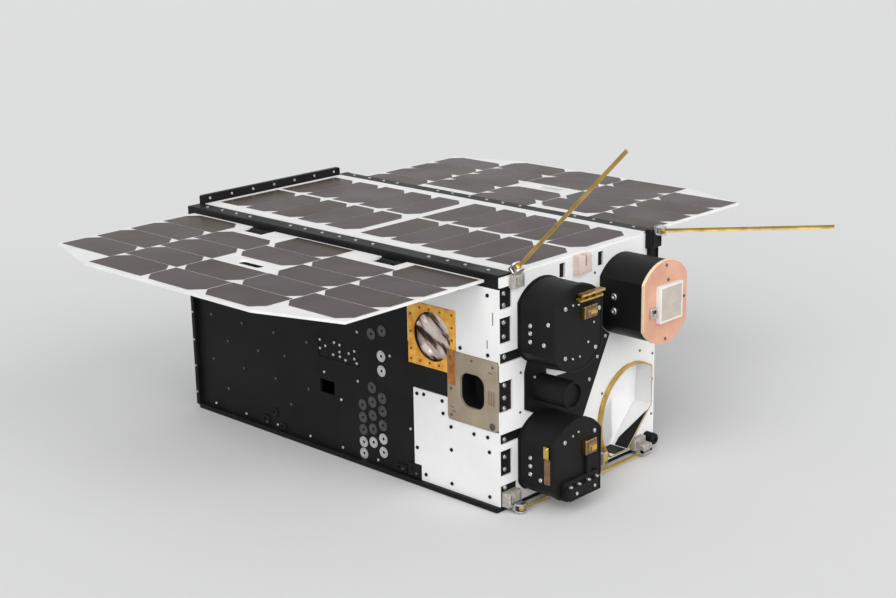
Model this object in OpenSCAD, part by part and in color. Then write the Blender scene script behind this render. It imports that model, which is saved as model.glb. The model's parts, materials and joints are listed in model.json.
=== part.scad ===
// Nanosatellite with two folding solar wings, tape antennas and a payload face.
// X points forward to the payload face, Y to the left wing, Z up.
// The origin is on the floor under the middle of the body.

/* [Body] */
// Length from the rear plate's face to the front panel's face
body_l = 444; // [436:1:480]
// Width over the two top rails
body_w = 232; // [228:1:260]
// Height from the floor to the faces of the top cells
body_h = 226; // [222:1:240]
// Thickness of the side and bottom panels
panel_t = 3; // [2:0.5:4]
// Thickness of the rear plate
rear_t = 5; // [3:0.5:8]
// Height that the rear plate stands above the top cells
rear_lip = 8; // [4:0.5:12]
// Thickness of the frame behind the front panel
frame_t = 6; // [4:0.5:10]
// Thickness of the white front panel
front_t = 2; // [1.5:0.5:3]
// Thickness of the white radiator sheets
radiator_t = 1.5; // [1:0.5:2]

/* [Rails] */
// Distance that a dispenser tab stands out past the top rail
tab_reach = 4; // [2:0.5:5]
// Thickness of a dispenser tab
tab_t = 4.8; // [4:0.1:6]
// Width of a dispenser tab, measured inwards
tab_w = 27; // [24:1:36]
// Thickness of the rail wall that stands on the tab
rail_wall = 5; // [3:0.5:8]
// Height of the rail wall's top above the floor
rail_h = 26; // [20:1:40]
// Width of a top rail
hinge_rail_w = 18; // [14:1:22]
// Height of a top rail
hinge_rail_h = 13; // [12:0.5:16]
// Width of the ledge that carries the top panel
ledge_w = 12; // [8:1:16]
// Height of that ledge
ledge_h = 4.2; // [3:0.2:6]

/* [Solar panels] */
// Thickness of a wing's panel
wing_t = 2.4; // [1.6:0.2:3]
// Length by which a wing is shorter than the body
wing_short = 30; // [20:1:34]
// Height above the floor of a folded wing's lower edge
wing_clear = 22; // [16:1:24]
// Length along the body of a wing's cut-off corner
wing_cut_l = 86; // [60:1:90]
// Distance outwards of a wing's cut-off corner
wing_cut_w = 28; // [20:1:30]
// Distance of the wing's middle behind the body's middle
wing_back = 3; // [0:0.5:3]
// Gap between a wing's root and its rail
root_gap = 1; // [1:0.2:2]
// Length of a solar cell
cell_l = 80; // [76:0.5:80]
// Width of a solar cell
cell_w = 40; // [38:0.5:40]
// Size of a cell's two clipped corners
cell_clip = 11; // [6:0.5:14]
// Thickness of a solar cell
cell_t = 0.4; // [0.3:0.1:0.6]
// Distance from one cell of a row to the next
cell_pitch = 41.2; // [41:0.1:41.4]
// Thickness of the top panel
top_t = 2.4; // [1.6:0.2:3]

/* [Wing hinges] */
// Distance of the hinge line outside the top rail
hinge_out = 5; // [5:0.2:6]
// Depth of the hinge line below a wing's middle plane
hinge_drop = 3; // [3:0.2:4]
// Radius of a hinge knuckle
knuckle_r = 4; // [3.6:0.1:4.2]
// Radius of a hinge pin
pin_r = 1.5; // [1:0.1:2]
// Gap between a pin and the knuckle that turns on it
pin_gap = 0.3; // [0.2:0.05:0.5]
// Length of a wing's knuckle
knuckle_l = 11; // [8:0.5:14]
// Length of a rail's knuckle
lug_l = 8; // [6:0.5:9]
// Thickness of a wing's hinge leaf
leaf_t = 2; // [1.5:0.1:2.4]
// Width of the notch in a wing's root at a hinge
notch_w = 34; // [34:1:40]
// Depth of that notch
notch_d = 18; // [16:1:20]
// Length of the hold-down slot in a wing
slot_l = 36; // [30:1:40]
// Width of the hold-down slot
slot_w = 13; // [10:0.5:14]
// Gap that the cells leave around the slot
slot_room = 26.8; // [24:0.2:28]

/* [Payload face] */
// Radius of the rounded payload housings
housing_r = 41; // [36:0.5:42]
// Distance from a housing's middle to its flat sides
housing_flat = 34; // [30:0.5:36]
// Depth of the two closed housings
housing_d = 37; // [25:0.5:45]
// Thickness of their lids
lid_t = 5; // [3:0.5:8]
// Depth of the housing that carries the patch antenna
patch_housing_d = 50; // [30:0.5:55]
// Thickness of the black plate under the housings
plate_t = 2; // [1:0.5:4]
// Distance of the housings from the middle of the face
housing_y = 59; // [54:0.5:62]
// Height of the upper housings' middles
housing_top_z = 173; // [168:0.5:174]
// Height of the lower housing's middle
housing_low_z = 46; // [44:0.5:50]
// Height of the lower housing's flat underside
housing_low_floor = 14.5; // [14.5:0.5:18]
// Radius of the round stub between the housings
stub_r = 13; // [8:0.5:15]
// Length of the stub
stub_l = 38; // [20:1:45]
// Radius of the telescope's aperture
aperture_r = 52; // [46:0.5:54]
// Depth of the aperture's baffle behind the face
baffle_d = 12; // [8:1:40]
// Distance that the baffle's rim stands out in front of the face
baffle_proud = 5; // [1:0.5:8]
// Wall of the baffle
baffle_wall = 1.5; // [1:0.1:2.5]
// Thickness of the mirror
mirror_t = 9; // [7:0.5:14]
// Radius of the mirror's hollow face
mirror_curve = 320; // [280:5:500]

/* [Antennas] */
// Length of the two upper tapes, from the hinge
tape_top_l = 168; // [140:1:172]
// Room between the lower tape's tip and the opposite hinge line
tape_low_room = 31; // [30:1:50]
// Width of a tape
tape_w = 4.2; // [3.6:0.1:5]
// Thickness of a tape
tape_t = 0.5; // [0.4:0.1:0.8]
// Radius of a tape's knuckle
tape_knuckle_r = 2.8; // [2.6:0.1:3.2]
// Radius of a tape's pin
tape_pin_r = 1.2; // [0.8:0.1:1.4]
// Thickness of a holder's cheek
cheek_t = 1.9; // [1.5:0.1:2]
// Gap between a knuckle and its cheeks
cheek_gap = 0.4; // [0.3:0.05:0.6]

/* [Hidden] */
$fn = 64;

// Main planes of the body
x_rear = -body_l / 2;
x_front = body_l / 2;
x_inner_rear = x_rear + rear_t;
x_panel = x_front - front_t;
x_frame = x_panel - frame_t;
y_rail = body_w / 2;
y_skin = y_rail - radiator_t;
y_inner = y_skin - panel_t;
z_top = body_h - cell_t;
z_deck = z_top - top_t;
rail_cap = 0.6;
z_rail_top = z_top - rail_cap;
z_rail = z_rail_top - hinge_rail_h;
y_deck = y_rail - hinge_rail_w;
y_tab = y_rail + tab_reach;
body_len = x_frame - x_inner_rear;

// The fittings are laid out on a body of this width and height, and keep their share of it
layout_w = 232;
layout_h = 226;
across = body_w / layout_w;
up = body_h / layout_h;

// Point in Y and Z from hundredths of the body's width and height
function place(p) = [p[0] * body_w / 100, p[1] * body_h / 100];

// Colours
black = [0.05, 0.05, 0.055];
white = [0.92, 0.92, 0.91];
silver = [0.72, 0.72, 0.72];
gold = [0.75, 0.58, 0.28];
cell_colour = [0.34, 0.31, 0.32];

// Profile in Y and Z, drawn along X from x0
module along_x(x0, length) {
    translate([x0, 0, 0]) rotate([90, 0, 90]) linear_extrude(length) children();
}

// Outline in X and Z, as a sheet whose inner face is at -y0 and which is t thick
module on_right(y0, t) {
    translate([0, -y0, 0]) rotate([90, 0, 0]) linear_extrude(t) children();
}

// Rectangle from its four edges
module block2d(x0, y0, x1, y1) {
    translate([x0, y0]) square([x1 - x0, y1 - y0]);
}

// Rectangle with round corners, about its middle
module round_rect(w, h, r) {
    for (sx = [-1, 1], sy = [-1, 1])
        translate([sx * (w / 2 - r), sy * (h / 2 - r)]) circle(r);
    square([w - 2 * r, h], center = true);
    square([w, h - 2 * r], center = true);
}

module flip_left() {
    mirror([0, 1, 0]) children();
}

// Bottom and rails

module base_panel() {
    color(black) translate([x_inner_rear, -(y_tab - tab_w), 0])
        cube([body_len, 2 * (y_tab - tab_w), panel_t]);
}

module rail_right() {
    color(black) along_x(x_inner_rear, body_len) {
        block2d(-y_tab, 0, -y_tab + tab_w, tab_t);
        block2d(-y_inner, 0, -y_inner + rail_wall, rail_h);
    }
}

module rail_left() {
    flip_left() rail_right();
}

// Wing hinge line and the outline of a wing
hinge_y = y_rail + hinge_out;
wing_above_rail = 6;
wing_mid_z = z_rail + wing_above_rail;
hinge_z = wing_mid_z - hinge_drop;
root_y = y_rail + root_gap;
wing_l = body_l - wing_short;
wing_x0 = -wing_l / 2 - wing_back;
wing_span = hinge_z + hinge_out - root_gap - wing_clear;

// Columns of cells along a wing
wing_margin_rear = 5;
wing_margin_front = 2;
column_gap = 1;
columns_l = wing_l - wing_margin_rear - wing_margin_front;
wing_columns = floor((columns_l + column_gap) / (cell_l + column_gap));
column_pitch = (columns_l - cell_l) / (wing_columns - 1);
function column_x(i) = wing_x0 + wing_margin_rear + i * column_pitch;

// Distance of a column's first cell from the root, in cell widths
stagger_even = 0.1;
stagger_odd = 0.7;
stagger_slot = 0.075;

// The hold-down slot lies in the gap after the second cell of its column
slot_reach = stagger_slot * cell_w + cell_pitch + cell_w + slot_room / 2;

// X of each hinge's middle, under the columns that start further out
hinge_shift_rear = 26.25;
hinge_shift_front = 50.75;
hinge_stations = [column_x(1) + hinge_shift_rear, column_x(wing_columns - 2) + hinge_shift_front];
lug_step = knuckle_l / 2 + cheek_gap + lug_l / 2;

// Rail knuckle with the block that joins it to the rail, sunk a little into the rail's face
module rail_lug(x) {
    sunk = 1;
    translate([x - lug_l / 2, -hinge_y, hinge_z]) rotate([0, 90, 0])
        cylinder(r = knuckle_r, h = lug_l);
    translate([x - lug_l / 2, -hinge_y, z_rail])
        cube([lug_l, hinge_out + sunk, hinge_z + knuckle_r - z_rail]);
}

module hinge_rail_right() {
    edge = 1.5;
    color(black) {
        along_x(x_inner_rear, x_panel - x_inner_rear) {
            polygon([
                [-y_rail, z_rail], [-y_deck, z_rail], [-y_deck, z_rail_top],
                [-y_rail + edge, z_rail_top], [-y_rail, z_rail_top - edge]]);
            block2d(-y_deck, z_deck - ledge_h, -y_deck + ledge_w, z_deck);
        }
        for (x = hinge_stations) {
            for (s = [-1, 1]) rail_lug(x + s * lug_step);
            translate([x - lug_step - lug_l / 2, -hinge_y, hinge_z]) rotate([0, 90, 0])
                cylinder(r = pin_r, h = 2 * lug_step + lug_l);
        }
    }
}

module hinge_rail_left() {
    flip_left() hinge_rail_right();
}

// Rear plate with its raised lip and four handling holes
handling_w = 180;
handling_h = 160;
handling_low = 33;
handling_y = handling_w / 2 * across;
handling_z0 = handling_low * up;
handling_dz = handling_h * up;
handling_r = 2.75;
lip_over = 2;
lip_y = y_deck + lip_over;
corner_cut = 4;

module rear_plate() {
    z_lip = body_h + rear_lip;
    color(black) difference() {
        along_x(x_rear, rear_t) polygon([
            [-y_tab + corner_cut, 0], [y_tab - corner_cut, 0], [y_tab, corner_cut],
            [y_tab, z_rail], [y_rail, z_rail + corner_cut], [y_rail, z_rail_top],
            [lip_y, z_rail_top], [lip_y, z_lip - corner_cut / 2], [lip_y - corner_cut / 2, z_lip],
            [-lip_y + corner_cut / 2, z_lip], [-lip_y, z_lip - corner_cut / 2], [-lip_y, z_rail_top],
            [-y_rail, z_rail_top], [-y_rail, z_rail + corner_cut], [-y_tab, z_rail],
            [-y_tab, corner_cut]]);
        for (sy = [-1, 1], z = [handling_z0, handling_z0 + handling_dz])
            translate([x_rear - 1, sy * handling_y, z]) rotate([0, 90, 0])
                cylinder(r = handling_r, h = rear_t + 2);
    }
}

// Right side, with its openings in X and Z. The hold-down block hangs just under the line
// that a folded wing's slot comes to rest on
hold_x = 7;
hold_w = 61;
hold_h = 21;
hold_drop = 0.5;
hold_z = hinge_z - (slot_reach + root_gap - hinge_out) - hold_h / 2 - hold_drop;
port_x = -12.5;
port_drop = 41.5;
port_z = hold_z - port_drop;
port_w = 21;
port_h = 14;
sensor_plate_w = 62;
sensor_plate_h = 0.2965 * body_h;
sensor_plate_t = 3;
sensor_inset = 1;
sensor_x = x_panel - sensor_inset - sensor_plate_w / 2;
sensor_z = 0.489 * body_h;
sensor_w = 30;
sensor_h = 0.146 * body_h;
sensor_r = 10;
blanket_step = 51.5;
blanket_x = sensor_x - blanket_step;
blanket_z = 0.6726 * body_h;
blanket_w = 0.27 * body_h;
blanket_r = 0.1062 * body_h;
seat_gap = 0.3;

module side_outline() {
    block2d(x_inner_rear, tab_t, x_frame, z_rail);
}

module hold_window(extra) {
    translate([hold_x, hold_z]) square([hold_w + 2 * extra, hold_h + 2 * extra], center = true);
}

module side_panel_right() {
    color(black) on_right(y_inner, panel_t) difference() {
        side_outline();
        hold_window(seat_gap);
        translate([port_x, port_z]) square([port_w, port_h], center = true);
        translate([sensor_x, sensor_z]) round_rect(sensor_w, sensor_h, sensor_r);
        translate([blanket_x, blanket_z]) circle(blanket_r);
    }
}

module side_panel_left() {
    color(black) flip_left() on_right(y_inner, panel_t) difference() {
        side_outline();
        hold_window(seat_gap);
    }
}

// Hold-down block: its face fills the window and its flange lies behind the panel
module hold_down_right() {
    flange = 4;
    sunk = 0.5;
    color(black) {
        on_right(y_inner - flange, flange) hold_window(flange);
        on_right(y_inner, panel_t - sunk) hold_window(0);
    }
}

module hold_down_left() {
    flip_left() hold_down_right();
}

// White radiator sheets and what is let into them
blanket_margin = 1;
radiator_x0 = blanket_x - blanket_w / 2 - blanket_margin;
radiator_step = 6;
radiator_low_x0 = radiator_x0 + radiator_step;
radiator_x1 = x_panel;
radiator_split = 0.4292 * body_h;
radiator_up_z = 0.6283 * body_h;
blanket_t = 2;
foot_notch_x = 9;
foot_notch_z = 15;

module sensor_plate_outline(extra) {
    translate([sensor_x, sensor_z])
        square([sensor_plate_w + 2 * extra, sensor_plate_h + 2 * extra], center = true);
}

module blanket_outline(extra) {
    translate([blanket_x, blanket_z]) square(blanket_w + 2 * extra, center = true);
}

module radiator_upper() {
    color(white) on_right(y_skin, radiator_t) difference() {
        block2d(radiator_x0, radiator_up_z, radiator_x1, z_rail);
        sensor_plate_outline(seat_gap);
        blanket_outline(seat_gap);
    }
}

module radiator_lower() {
    color(white) on_right(y_skin, radiator_t) difference() {
        block2d(radiator_low_x0, tab_t, radiator_x1, radiator_split);
        sensor_plate_outline(seat_gap);
        block2d(radiator_low_x0 - 1, tab_t - 1, radiator_low_x0 + foot_notch_x, tab_t + foot_notch_z);
    }
}

module blanket_frame() {
    color([0.84, 0.55, 0.16]) on_right(y_skin, blanket_t) difference() {
        blanket_outline(0);
        translate([blanket_x, blanket_z]) circle(blanket_r);
        sensor_plate_outline(seat_gap);
    }
}

module blanket_foil() {
    foil_margin = 4;
    foil_t = 1;
    color([0.8, 0.72, 0.68]) on_right(y_inner - foil_t, foil_t)
        translate([blanket_x, blanket_z]) circle(blanket_r + foil_margin);
}

module sensor_plate() {
    color([0.55, 0.49, 0.41]) on_right(y_skin, sensor_plate_t) difference() {
        sensor_plate_outline(0);
        translate([sensor_x, sensor_z]) round_rect(sensor_w, sensor_h, sensor_r);
    }
}

// Open box behind the sensor window
module sensor_box() {
    wall = 3;
    depth = 18;
    color(black) difference() {
        on_right(y_inner - depth, depth) translate([sensor_x, sensor_z])
            square([sensor_w + 2 * wall, sensor_h + 2 * wall], center = true);
        on_right(y_inner - depth + wall, depth) translate([sensor_x, sensor_z])
            round_rect(sensor_w, sensor_h, sensor_r);
    }
}

// Front face. The aperture is a circle cut off by two flats near the body's edges, and by a slanting
// flat across its lower outer corner, which is left closed for the rest of the lower tape
aperture_y = 0.3319 * body_w;
aperture_z = 0.1991 * body_h;
clear_r = aperture_r * min(across, up);
aperture_gap = 0.5;
aperture_y_max = y_inner - rail_wall - aperture_gap;
aperture_z_min = 9;
corner_y = 0.2931 * body_w;

module aperture_outline(inset) {
    slant_y = corner_y - aperture_z_min - inset * sqrt(2);
    difference() {
        intersection() {
            translate([aperture_y, aperture_z]) circle(clear_r - inset);
            block2d(aperture_y - clear_r, aperture_z_min + inset,
                    aperture_y_max - inset, aperture_z + clear_r);
        }
        polygon([[slant_y, 0], [slant_y + body_h, body_h], [slant_y + body_h, 0]]);
    }
}

module front_frame() {
    deck_y = y_deck - ledge_w;
    color(black) along_x(x_frame, frame_t) difference() {
        union() {
            block2d(-y_tab, 0, y_tab, tab_t);
            block2d(-y_skin, 0, y_skin, z_rail);
            block2d(-deck_y, 0, deck_y, z_deck);
        }
        aperture_outline(-seat_gap);
    }
}

// Notches down the right edge of the front panel: depth from the edge in hundredths of the width,
// lowest and highest Z in hundredths of the height
edge_notches = [
    [9.5, 1.8, 11.5], [6.5, 15.5, 26.5], [12.9, 29.2, 33.6], [6.9, 42.9, 55.8],
    [12.9, 63.3, 67.7], [6.5, 71.7, 82.3], [6.9, 85.8, 94.7],
];
// Slots under the front panel's top edge: Y of their middles in hundredths of the width
top_slots = [-12.9, 11.6];
top_slot_drop = 10.2;
top_slot_size = [8, 14];

module front_panel() {
    color(white) along_x(x_panel, front_t) difference() {
        block2d(-y_rail, tab_t, y_rail, z_deck);
        aperture_outline(-seat_gap);
        for (n = edge_notches) {
            low = place([n[0], n[1]]);
            high = place([n[0], n[2]]);
            block2d(-y_rail - 1, low[1], -y_rail + low[0], high[1]);
        }
        for (s = top_slots)
            translate([place([s, 0])[0], z_deck - top_slot_drop]) square(top_slot_size, center = true);
    }
}

// Middles of the housings, and their rounded outline with flat sides
mid_y = housing_y * across;
mid_top_z = housing_top_z * up;
mid_low_z = housing_low_z * up;

module housing_outline(inset) {
    intersection() {
        circle(housing_r * up - inset);
        square([2 * (housing_flat * across - inset), 2 * housing_r * up], center = true);
    }
}

module lower_outline(inset) {
    intersection() {
        translate([-mid_y, mid_low_z]) housing_outline(inset);
        block2d(-body_w, housing_low_floor + inset, body_w, body_h);
    }
}

module upper_outline(inset) {
    translate([-mid_y, mid_top_z]) housing_outline(inset);
}

module patch_outline(inset) {
    translate([mid_y, mid_top_z]) housing_outline(inset);
}

x_plate = x_front + plate_t;
stub_y = -0.2672 * body_w;
stub_z = 0.4823 * body_h;
// Corners of the plate between the housings, with a slanting right edge: Y in hundredths of the
// width, Z in hundredths of the height
plate_corners = [
    [-36.2, 56.6], [-36.2, 40.7], [-25.9, 35.4], [-0.5, 27], [17.2, 60.5], [10.3, 82.3], [-25.9, 82.3],
];
// Corners of the small window in that plate, between the upper housing and the stub
window_corners = [[-23.7, 55.2], [-8.6, 49.6], [-23.7, 50.5]];

// Black plate, carried on under both housings
module payload_plate() {
    color(black) along_x(x_front, plate_t) difference() {
        union() {
            upper_outline(0);
            lower_outline(0);
            polygon([for (c = plate_corners) place(c)]);
        }
        polygon([for (c = window_corners) place(c)]);
        patch_outline(-seat_gap);
    }
}

module housing_upper() {
    color(black) along_x(x_plate, housing_d) upper_outline(1);
}

module housing_lower() {
    color(black) along_x(x_plate, housing_d) lower_outline(1);
}

module housing_patch() {
    color(black) along_x(x_front, patch_housing_d) patch_outline(1);
}

x_lid = x_plate + housing_d;

module lid_upper() {
    color(black) along_x(x_lid, lid_t) upper_outline(0);
}

module lid_lower() {
    color(black) along_x(x_lid, lid_t) lower_outline(0);
}

// Block with two steps across the bottom of the lower lid
module lid_foot() {
    foot_w = 0.2155 * body_w;
    foot_h = 12;
    foot_d = 9;
    step_h = 5;
    step_d = 4;
    color(black) translate([x_lid + lid_t, -mid_y - foot_w / 2, housing_low_floor]) {
        cube([foot_d, foot_w, foot_h]);
        cube([step_d, foot_w, foot_h + step_h]);
    }
}

module centre_stub() {
    rim = 2;
    rim_d = 3;
    color(black) translate([x_plate, stub_y, stub_z]) rotate([0, 90, 0]) difference() {
        cylinder(r = stub_r, h = stub_l);
        translate([0, 0, stub_l - rim_d]) cylinder(r = stub_r - rim, h = rim_d + 1);
    }
}

// Gold feed blocks on the lids: place of the middle, then size, both in hundredths of the body's
// width and height
feeds = [
    [[-22, 89.6], [18, 3.1]], [[-20.3, 82.7], [9.5, 5.3]], [[-19.4, 25.2], [7.3, 6.2]],
];
feed_d = 8;

module feed_blocks() {
    color(gold) for (f = feeds)
        along_x(x_lid + lid_t, feed_d) translate(place(f[0])) square(place(f[1]), center = true);
}

// Patch antenna
board_t = 3;
tile_w = 36;
tile_t = 5;
tile_shift = 3;
x_board = x_front + patch_housing_d;

module patch_board() {
    color([0.86, 0.64, 0.52]) along_x(x_board, board_t) patch_outline(0);
}

module patch_tile() {
    color([0.86, 0.84, 0.81]) along_x(x_board + board_t, tile_t)
        translate([mid_y + tile_shift, mid_top_z]) square(tile_w, center = true);
}

module patch_plug() {
    plug_w = 8;
    plug_h = 10;
    plug_drop = 6;
    color(silver) along_x(x_board + board_t, tile_t)
        translate([mid_y - tile_w / 2 - plug_w / 2, mid_top_z - plug_drop])
            square([plug_w, plug_h], center = true);
}

// Telescope
module aperture_baffle() {
    color([0.62, 0.5, 0.3]) along_x(x_front - baffle_d, baffle_d + baffle_proud) difference() {
        aperture_outline(0);
        aperture_outline(baffle_wall);
    }
}

module aperture_mirror() {
    color([0.93, 0.93, 0.95]) difference() {
        along_x(x_front - baffle_d - mirror_t, mirror_t) aperture_outline(0);
        translate([x_front - baffle_d - mirror_t / 2 + mirror_curve, aperture_y, aperture_z])
            sphere(mirror_curve, $fn = 400);
    }
}

// Top panel with a rear and a front group of cells, each of two rows, by the X of their first edges
top_gap_rear = 2;
top_gap_front = 1;
top_x0 = x_inner_rear + top_gap_rear;
top_x1 = x_front - top_gap_front;
top_cell_y = 3;
group_margin_rear = 10;
group_margin_front = 7.2;
group_gap = 2;
group_room = (x_front - x_inner_rear - group_margin_rear - group_margin_front - group_gap) / 2;
top_columns = floor(group_room / cell_pitch);
group_l = (top_columns - 1) * cell_pitch + cell_w;
top_groups = [x_inner_rear + group_margin_rear, x_front - group_margin_front - group_l];

// Solar cell with two clipped corners on its far long side
module cell2d() {
    polygon([
        [0, 0], [cell_l, 0], [cell_l, cell_w - cell_clip], [cell_l - cell_clip, cell_w],
        [cell_clip, cell_w], [0, cell_w - cell_clip]]);
}

module top_panel() {
    color(white) translate([top_x0, -y_deck, z_deck]) cube([top_x1 - top_x0, 2 * y_deck, top_t]);
}

module top_cells() {
    color(cell_colour) translate([0, 0, z_top]) linear_extrude(cell_t)
        for (x = top_groups, i = [0 : top_columns - 1], s = [0, 1])
            translate([x + i * cell_pitch, 0]) mirror([0, s]) translate([0, top_cell_y])
                translate([0, cell_l]) rotate(-90) cell2d();
}

// Wings, drawn for the right side with the distance outwards as -Y. Each is a rear, a middle and a
// front board with hairline seams between the cell columns, and a strap behind each seam. The middle
// board is in two halves that meet along the hold-down slot
slot_corner = 0.3;
wing_edge = 1.4;
seam_gap = 0.2;
column_slack = column_pitch - cell_l;
function at_slot(i) = column_x(i) < slot_l / 2 && column_x(i) + cell_l > -slot_l / 2;
slot_columns = [for (i = [0 : wing_columns - 1]) if (at_slot(i)) i];
wing_seams = [
    column_x(slot_columns[0]) - column_slack / 2,
    column_x(slot_columns[len(slot_columns) - 1] + 1) - column_slack / 2,
];

module wing_outline() {
    x1 = wing_x0 + wing_l;
    difference() {
        polygon([
            [wing_x0, 0], [x1, 0], [x1, -wing_span + wing_cut_w], [x1 - wing_cut_l, -wing_span],
            [wing_x0 + wing_cut_l, -wing_span], [wing_x0, -wing_span + wing_cut_w]]);
        for (x = hinge_stations) block2d(x - notch_w / 2, -notch_d, x + notch_w / 2, 1);
        for (x = wing_seams) block2d(x - seam_gap / 2, -wing_span - 1, x + seam_gap / 2, 1);
        block2d(wing_seams[0], -slot_reach - seam_gap / 2, wing_seams[1], -slot_reach + seam_gap / 2);
        translate([0, -slot_reach]) round_rect(slot_l, slot_w, slot_corner * slot_w);
    }
}

module wing_right_panel() {
    color(white) translate([0, -root_y, wing_mid_z - wing_t / 2]) linear_extrude(wing_t) wing_outline();
}

// One column of cells. The column over the slot leaves its gap, and those at the cut corners end sooner.
// The clipped corners point outwards, or towards the root where the column is turned
module wing_column(i, turned) {
    at_corner = i == 0 || i == wing_columns - 1;
    stagger = at_slot(i) ? stagger_slot : (i % 2 == 0 ? stagger_even : stagger_odd);
    first = stagger * cell_w;
    skip = at_slot(i) ? slot_room - (cell_pitch - cell_w) : 0;
    last = wing_span - (at_corner ? wing_cut_w : wing_edge) - skip - cell_w;
    for (j = [0 : floor((last - first) / cell_pitch)])
        translate([column_x(i), -first - j * cell_pitch - (j > 1 ? skip : 0) - (turned ? cell_w : 0)])
            mirror([0, turned ? 0 : 1]) cell2d();
}

// The columns on one side of the slot are turned: the rear ones on the right wing
module wing_cells(rear_turned) {
    color(cell_colour) translate([0, -root_y, wing_mid_z + wing_t / 2]) linear_extrude(cell_t)
        for (i = [0 : wing_columns - 1])
            wing_column(i, !at_slot(i) && (column_x(i) < 0) == rear_turned);
}

module wing_right_cells() {
    wing_cells(true);
}

module wing_right_straps() {
    strap_w = 14;
    strap_t = 0.8;
    strap_end = 6;
    color(black) for (x = wing_seams)
        translate([x - strap_w / 2, -root_y - wing_span + strap_end, wing_mid_z - wing_t / 2 - strap_t])
            cube([strap_w, wing_span - 2 * strap_end, strap_t]);
}

module wing_right_leaves() {
    pad_d = 16;
    z_leaf = wing_mid_z - wing_t / 2 - leaf_t;
    pad_y = root_y + notch_d + 1;
    color(black) for (x = hinge_stations) difference() {
        union() {
            translate([x - knuckle_l / 2, -hinge_y, hinge_z]) rotate([0, 90, 0])
                cylinder(r = knuckle_r, h = knuckle_l);
            translate([x - knuckle_l / 2, -pad_y - pad_d, z_leaf])
                cube([knuckle_l, pad_y + pad_d - hinge_y, leaf_t]);
            translate([x - notch_w / 2, -pad_y - pad_d, z_leaf]) cube([notch_w, pad_d, leaf_t]);
        }
        translate([x - knuckle_l, -hinge_y, hinge_z]) rotate([0, 90, 0])
            cylinder(r = pin_r + pin_gap, h = 2 * knuckle_l);
    }
}

module wing_left_panel() {
    flip_left() wing_right_panel();
}

module wing_left_cells() {
    flip_left() wing_cells(false);
}

module wing_left_straps() {
    flip_left() wing_right_straps();
}

module wing_left_leaves() {
    flip_left() wing_right_leaves();
}

// Tape antennas. Each hinge has a point and a turn of its frame about Y:
// in that frame the tape may sweep the +X half and turns about Z
tape_low_z = 5.2;
tape_out = 14;
tape_inset = 12;
tape_end_y = y_rail - tape_inset * across;
tape_low_l = 2 * tape_end_y - tape_low_room * across;
tape_left_shift = 2;
tape_left_rise = 1.9;
tape_right_shift = 7;
cant_out = 4.5;
top_left_hinge = [x_front + tape_out, tape_end_y + tape_left_shift, z_top + tape_left_rise];
top_left_turn = 45;
top_right_hinge = [x_front + cant_out, -tape_end_y + tape_right_shift, body_h + cant_out];
top_right_tilt = -45;
low_right_hinge = [x_front + tape_out, -tape_end_y, tape_low_z];
low_right_turn = 90;
fork_back = 7;
fork_web = 3;
fork_reach = 3;
fork_w = 10;
knuckle_h = tape_w;

// Fork and pin that hold a tape's knuckle
module tape_fork() {
    cheek_z = knuckle_h / 2 + cheek_gap;
    fork_h = cheek_z + cheek_t;
    translate([-fork_back, -fork_w / 2, -fork_h]) cube([fork_web, fork_w, 2 * fork_h]);
    for (z = [-fork_h, cheek_z])
        translate([-fork_back, -fork_w / 2, z]) cube([fork_back + fork_reach, fork_w, cheek_t]);
    cylinder(r = tape_pin_r, h = 2 * fork_h, center = true);
}

// Knuckle with a tape that leaves it along X
module tape(length) {
    difference() {
        union() {
            cylinder(r = tape_knuckle_r, h = knuckle_h, center = true);
            translate([0, -tape_t / 2, -tape_w / 2]) cube([length, tape_t, tape_w]);
        }
        cylinder(r = tape_pin_r + pin_gap, h = 2 * knuckle_h, center = true);
    }
}

holder_w = 0.0776 * body_w;
holder_h = 14;
holder_d = tape_out - fork_back;
holder_colour = [0.85, 0.72, 0.68];

// Its block rises past the deck, to carry the fork
module tape_holder_top_left() {
    rise = 5;
    color(holder_colour) {
        translate(top_left_hinge) tape_fork();
        translate([x_front, top_left_hinge[1] - holder_w / 2, z_deck - holder_h])
            cube([holder_d, holder_w, holder_h + rise]);
    }
}

// Its block rises a little further, to meet the canted fork
module tape_holder_top_right() {
    rise = 1;
    color(holder_colour) {
        translate(top_right_hinge) rotate([0, top_right_tilt, 0]) tape_fork();
        translate([x_front, top_right_hinge[1] - holder_w / 2, z_deck - holder_h])
            cube([holder_d, holder_w, holder_h + rise]);
    }
}

// Stands in the front panel's lowest notch, against the frame behind it
module tape_holder_low_right() {
    color(holder_colour) {
        translate(low_right_hinge) tape_fork();
        translate([x_panel, low_right_hinge[1] - holder_w / 2, tab_t])
            cube([front_t + holder_d, holder_w, holder_h]);
    }
}

// Rest past the tip of the lower tape, with a narrower nose
module tape_rest_low_left() {
    tip_gap = 4;
    rest_h = 12;
    nose_side = 2;
    nose_z = 1;
    nose_h = 11;
    nose_d = tape_out + 2;
    rest_y = low_right_hinge[1] + tape_low_l + tip_gap;
    color(holder_colour) {
        translate([x_front, rest_y, tab_t]) cube([holder_d, holder_w, rest_h]);
        translate([x_front, rest_y + nose_side, nose_z]) cube([nose_d, holder_w - 2 * nose_side, nose_h]);
    }
}

// Knob outside the rest of the lower tape
module release_knob() {
    knob_r = 6;
    knob_d = 12;
    knob_inset = 12;
    knob_lift = 0.5;
    color(black) translate([x_front, y_rail - knob_inset * across, tab_t + knob_r + knob_lift])
        rotate([0, 90, 0]) cylinder(r = knob_r, h = knob_d);
}

// Clamp under the line of a folded upper tape
module tape_clamp() {
    clamp_y = -8;
    clamp_w = 25;
    clamp_h = 17.5;
    clamp_d = 8;
    clamp_rise = 0.5;
    color(holder_colour) translate([x_front, clamp_y - clamp_w / 2, z_deck + clamp_rise - clamp_h])
        cube([clamp_d, clamp_w, clamp_h]);
}

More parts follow.
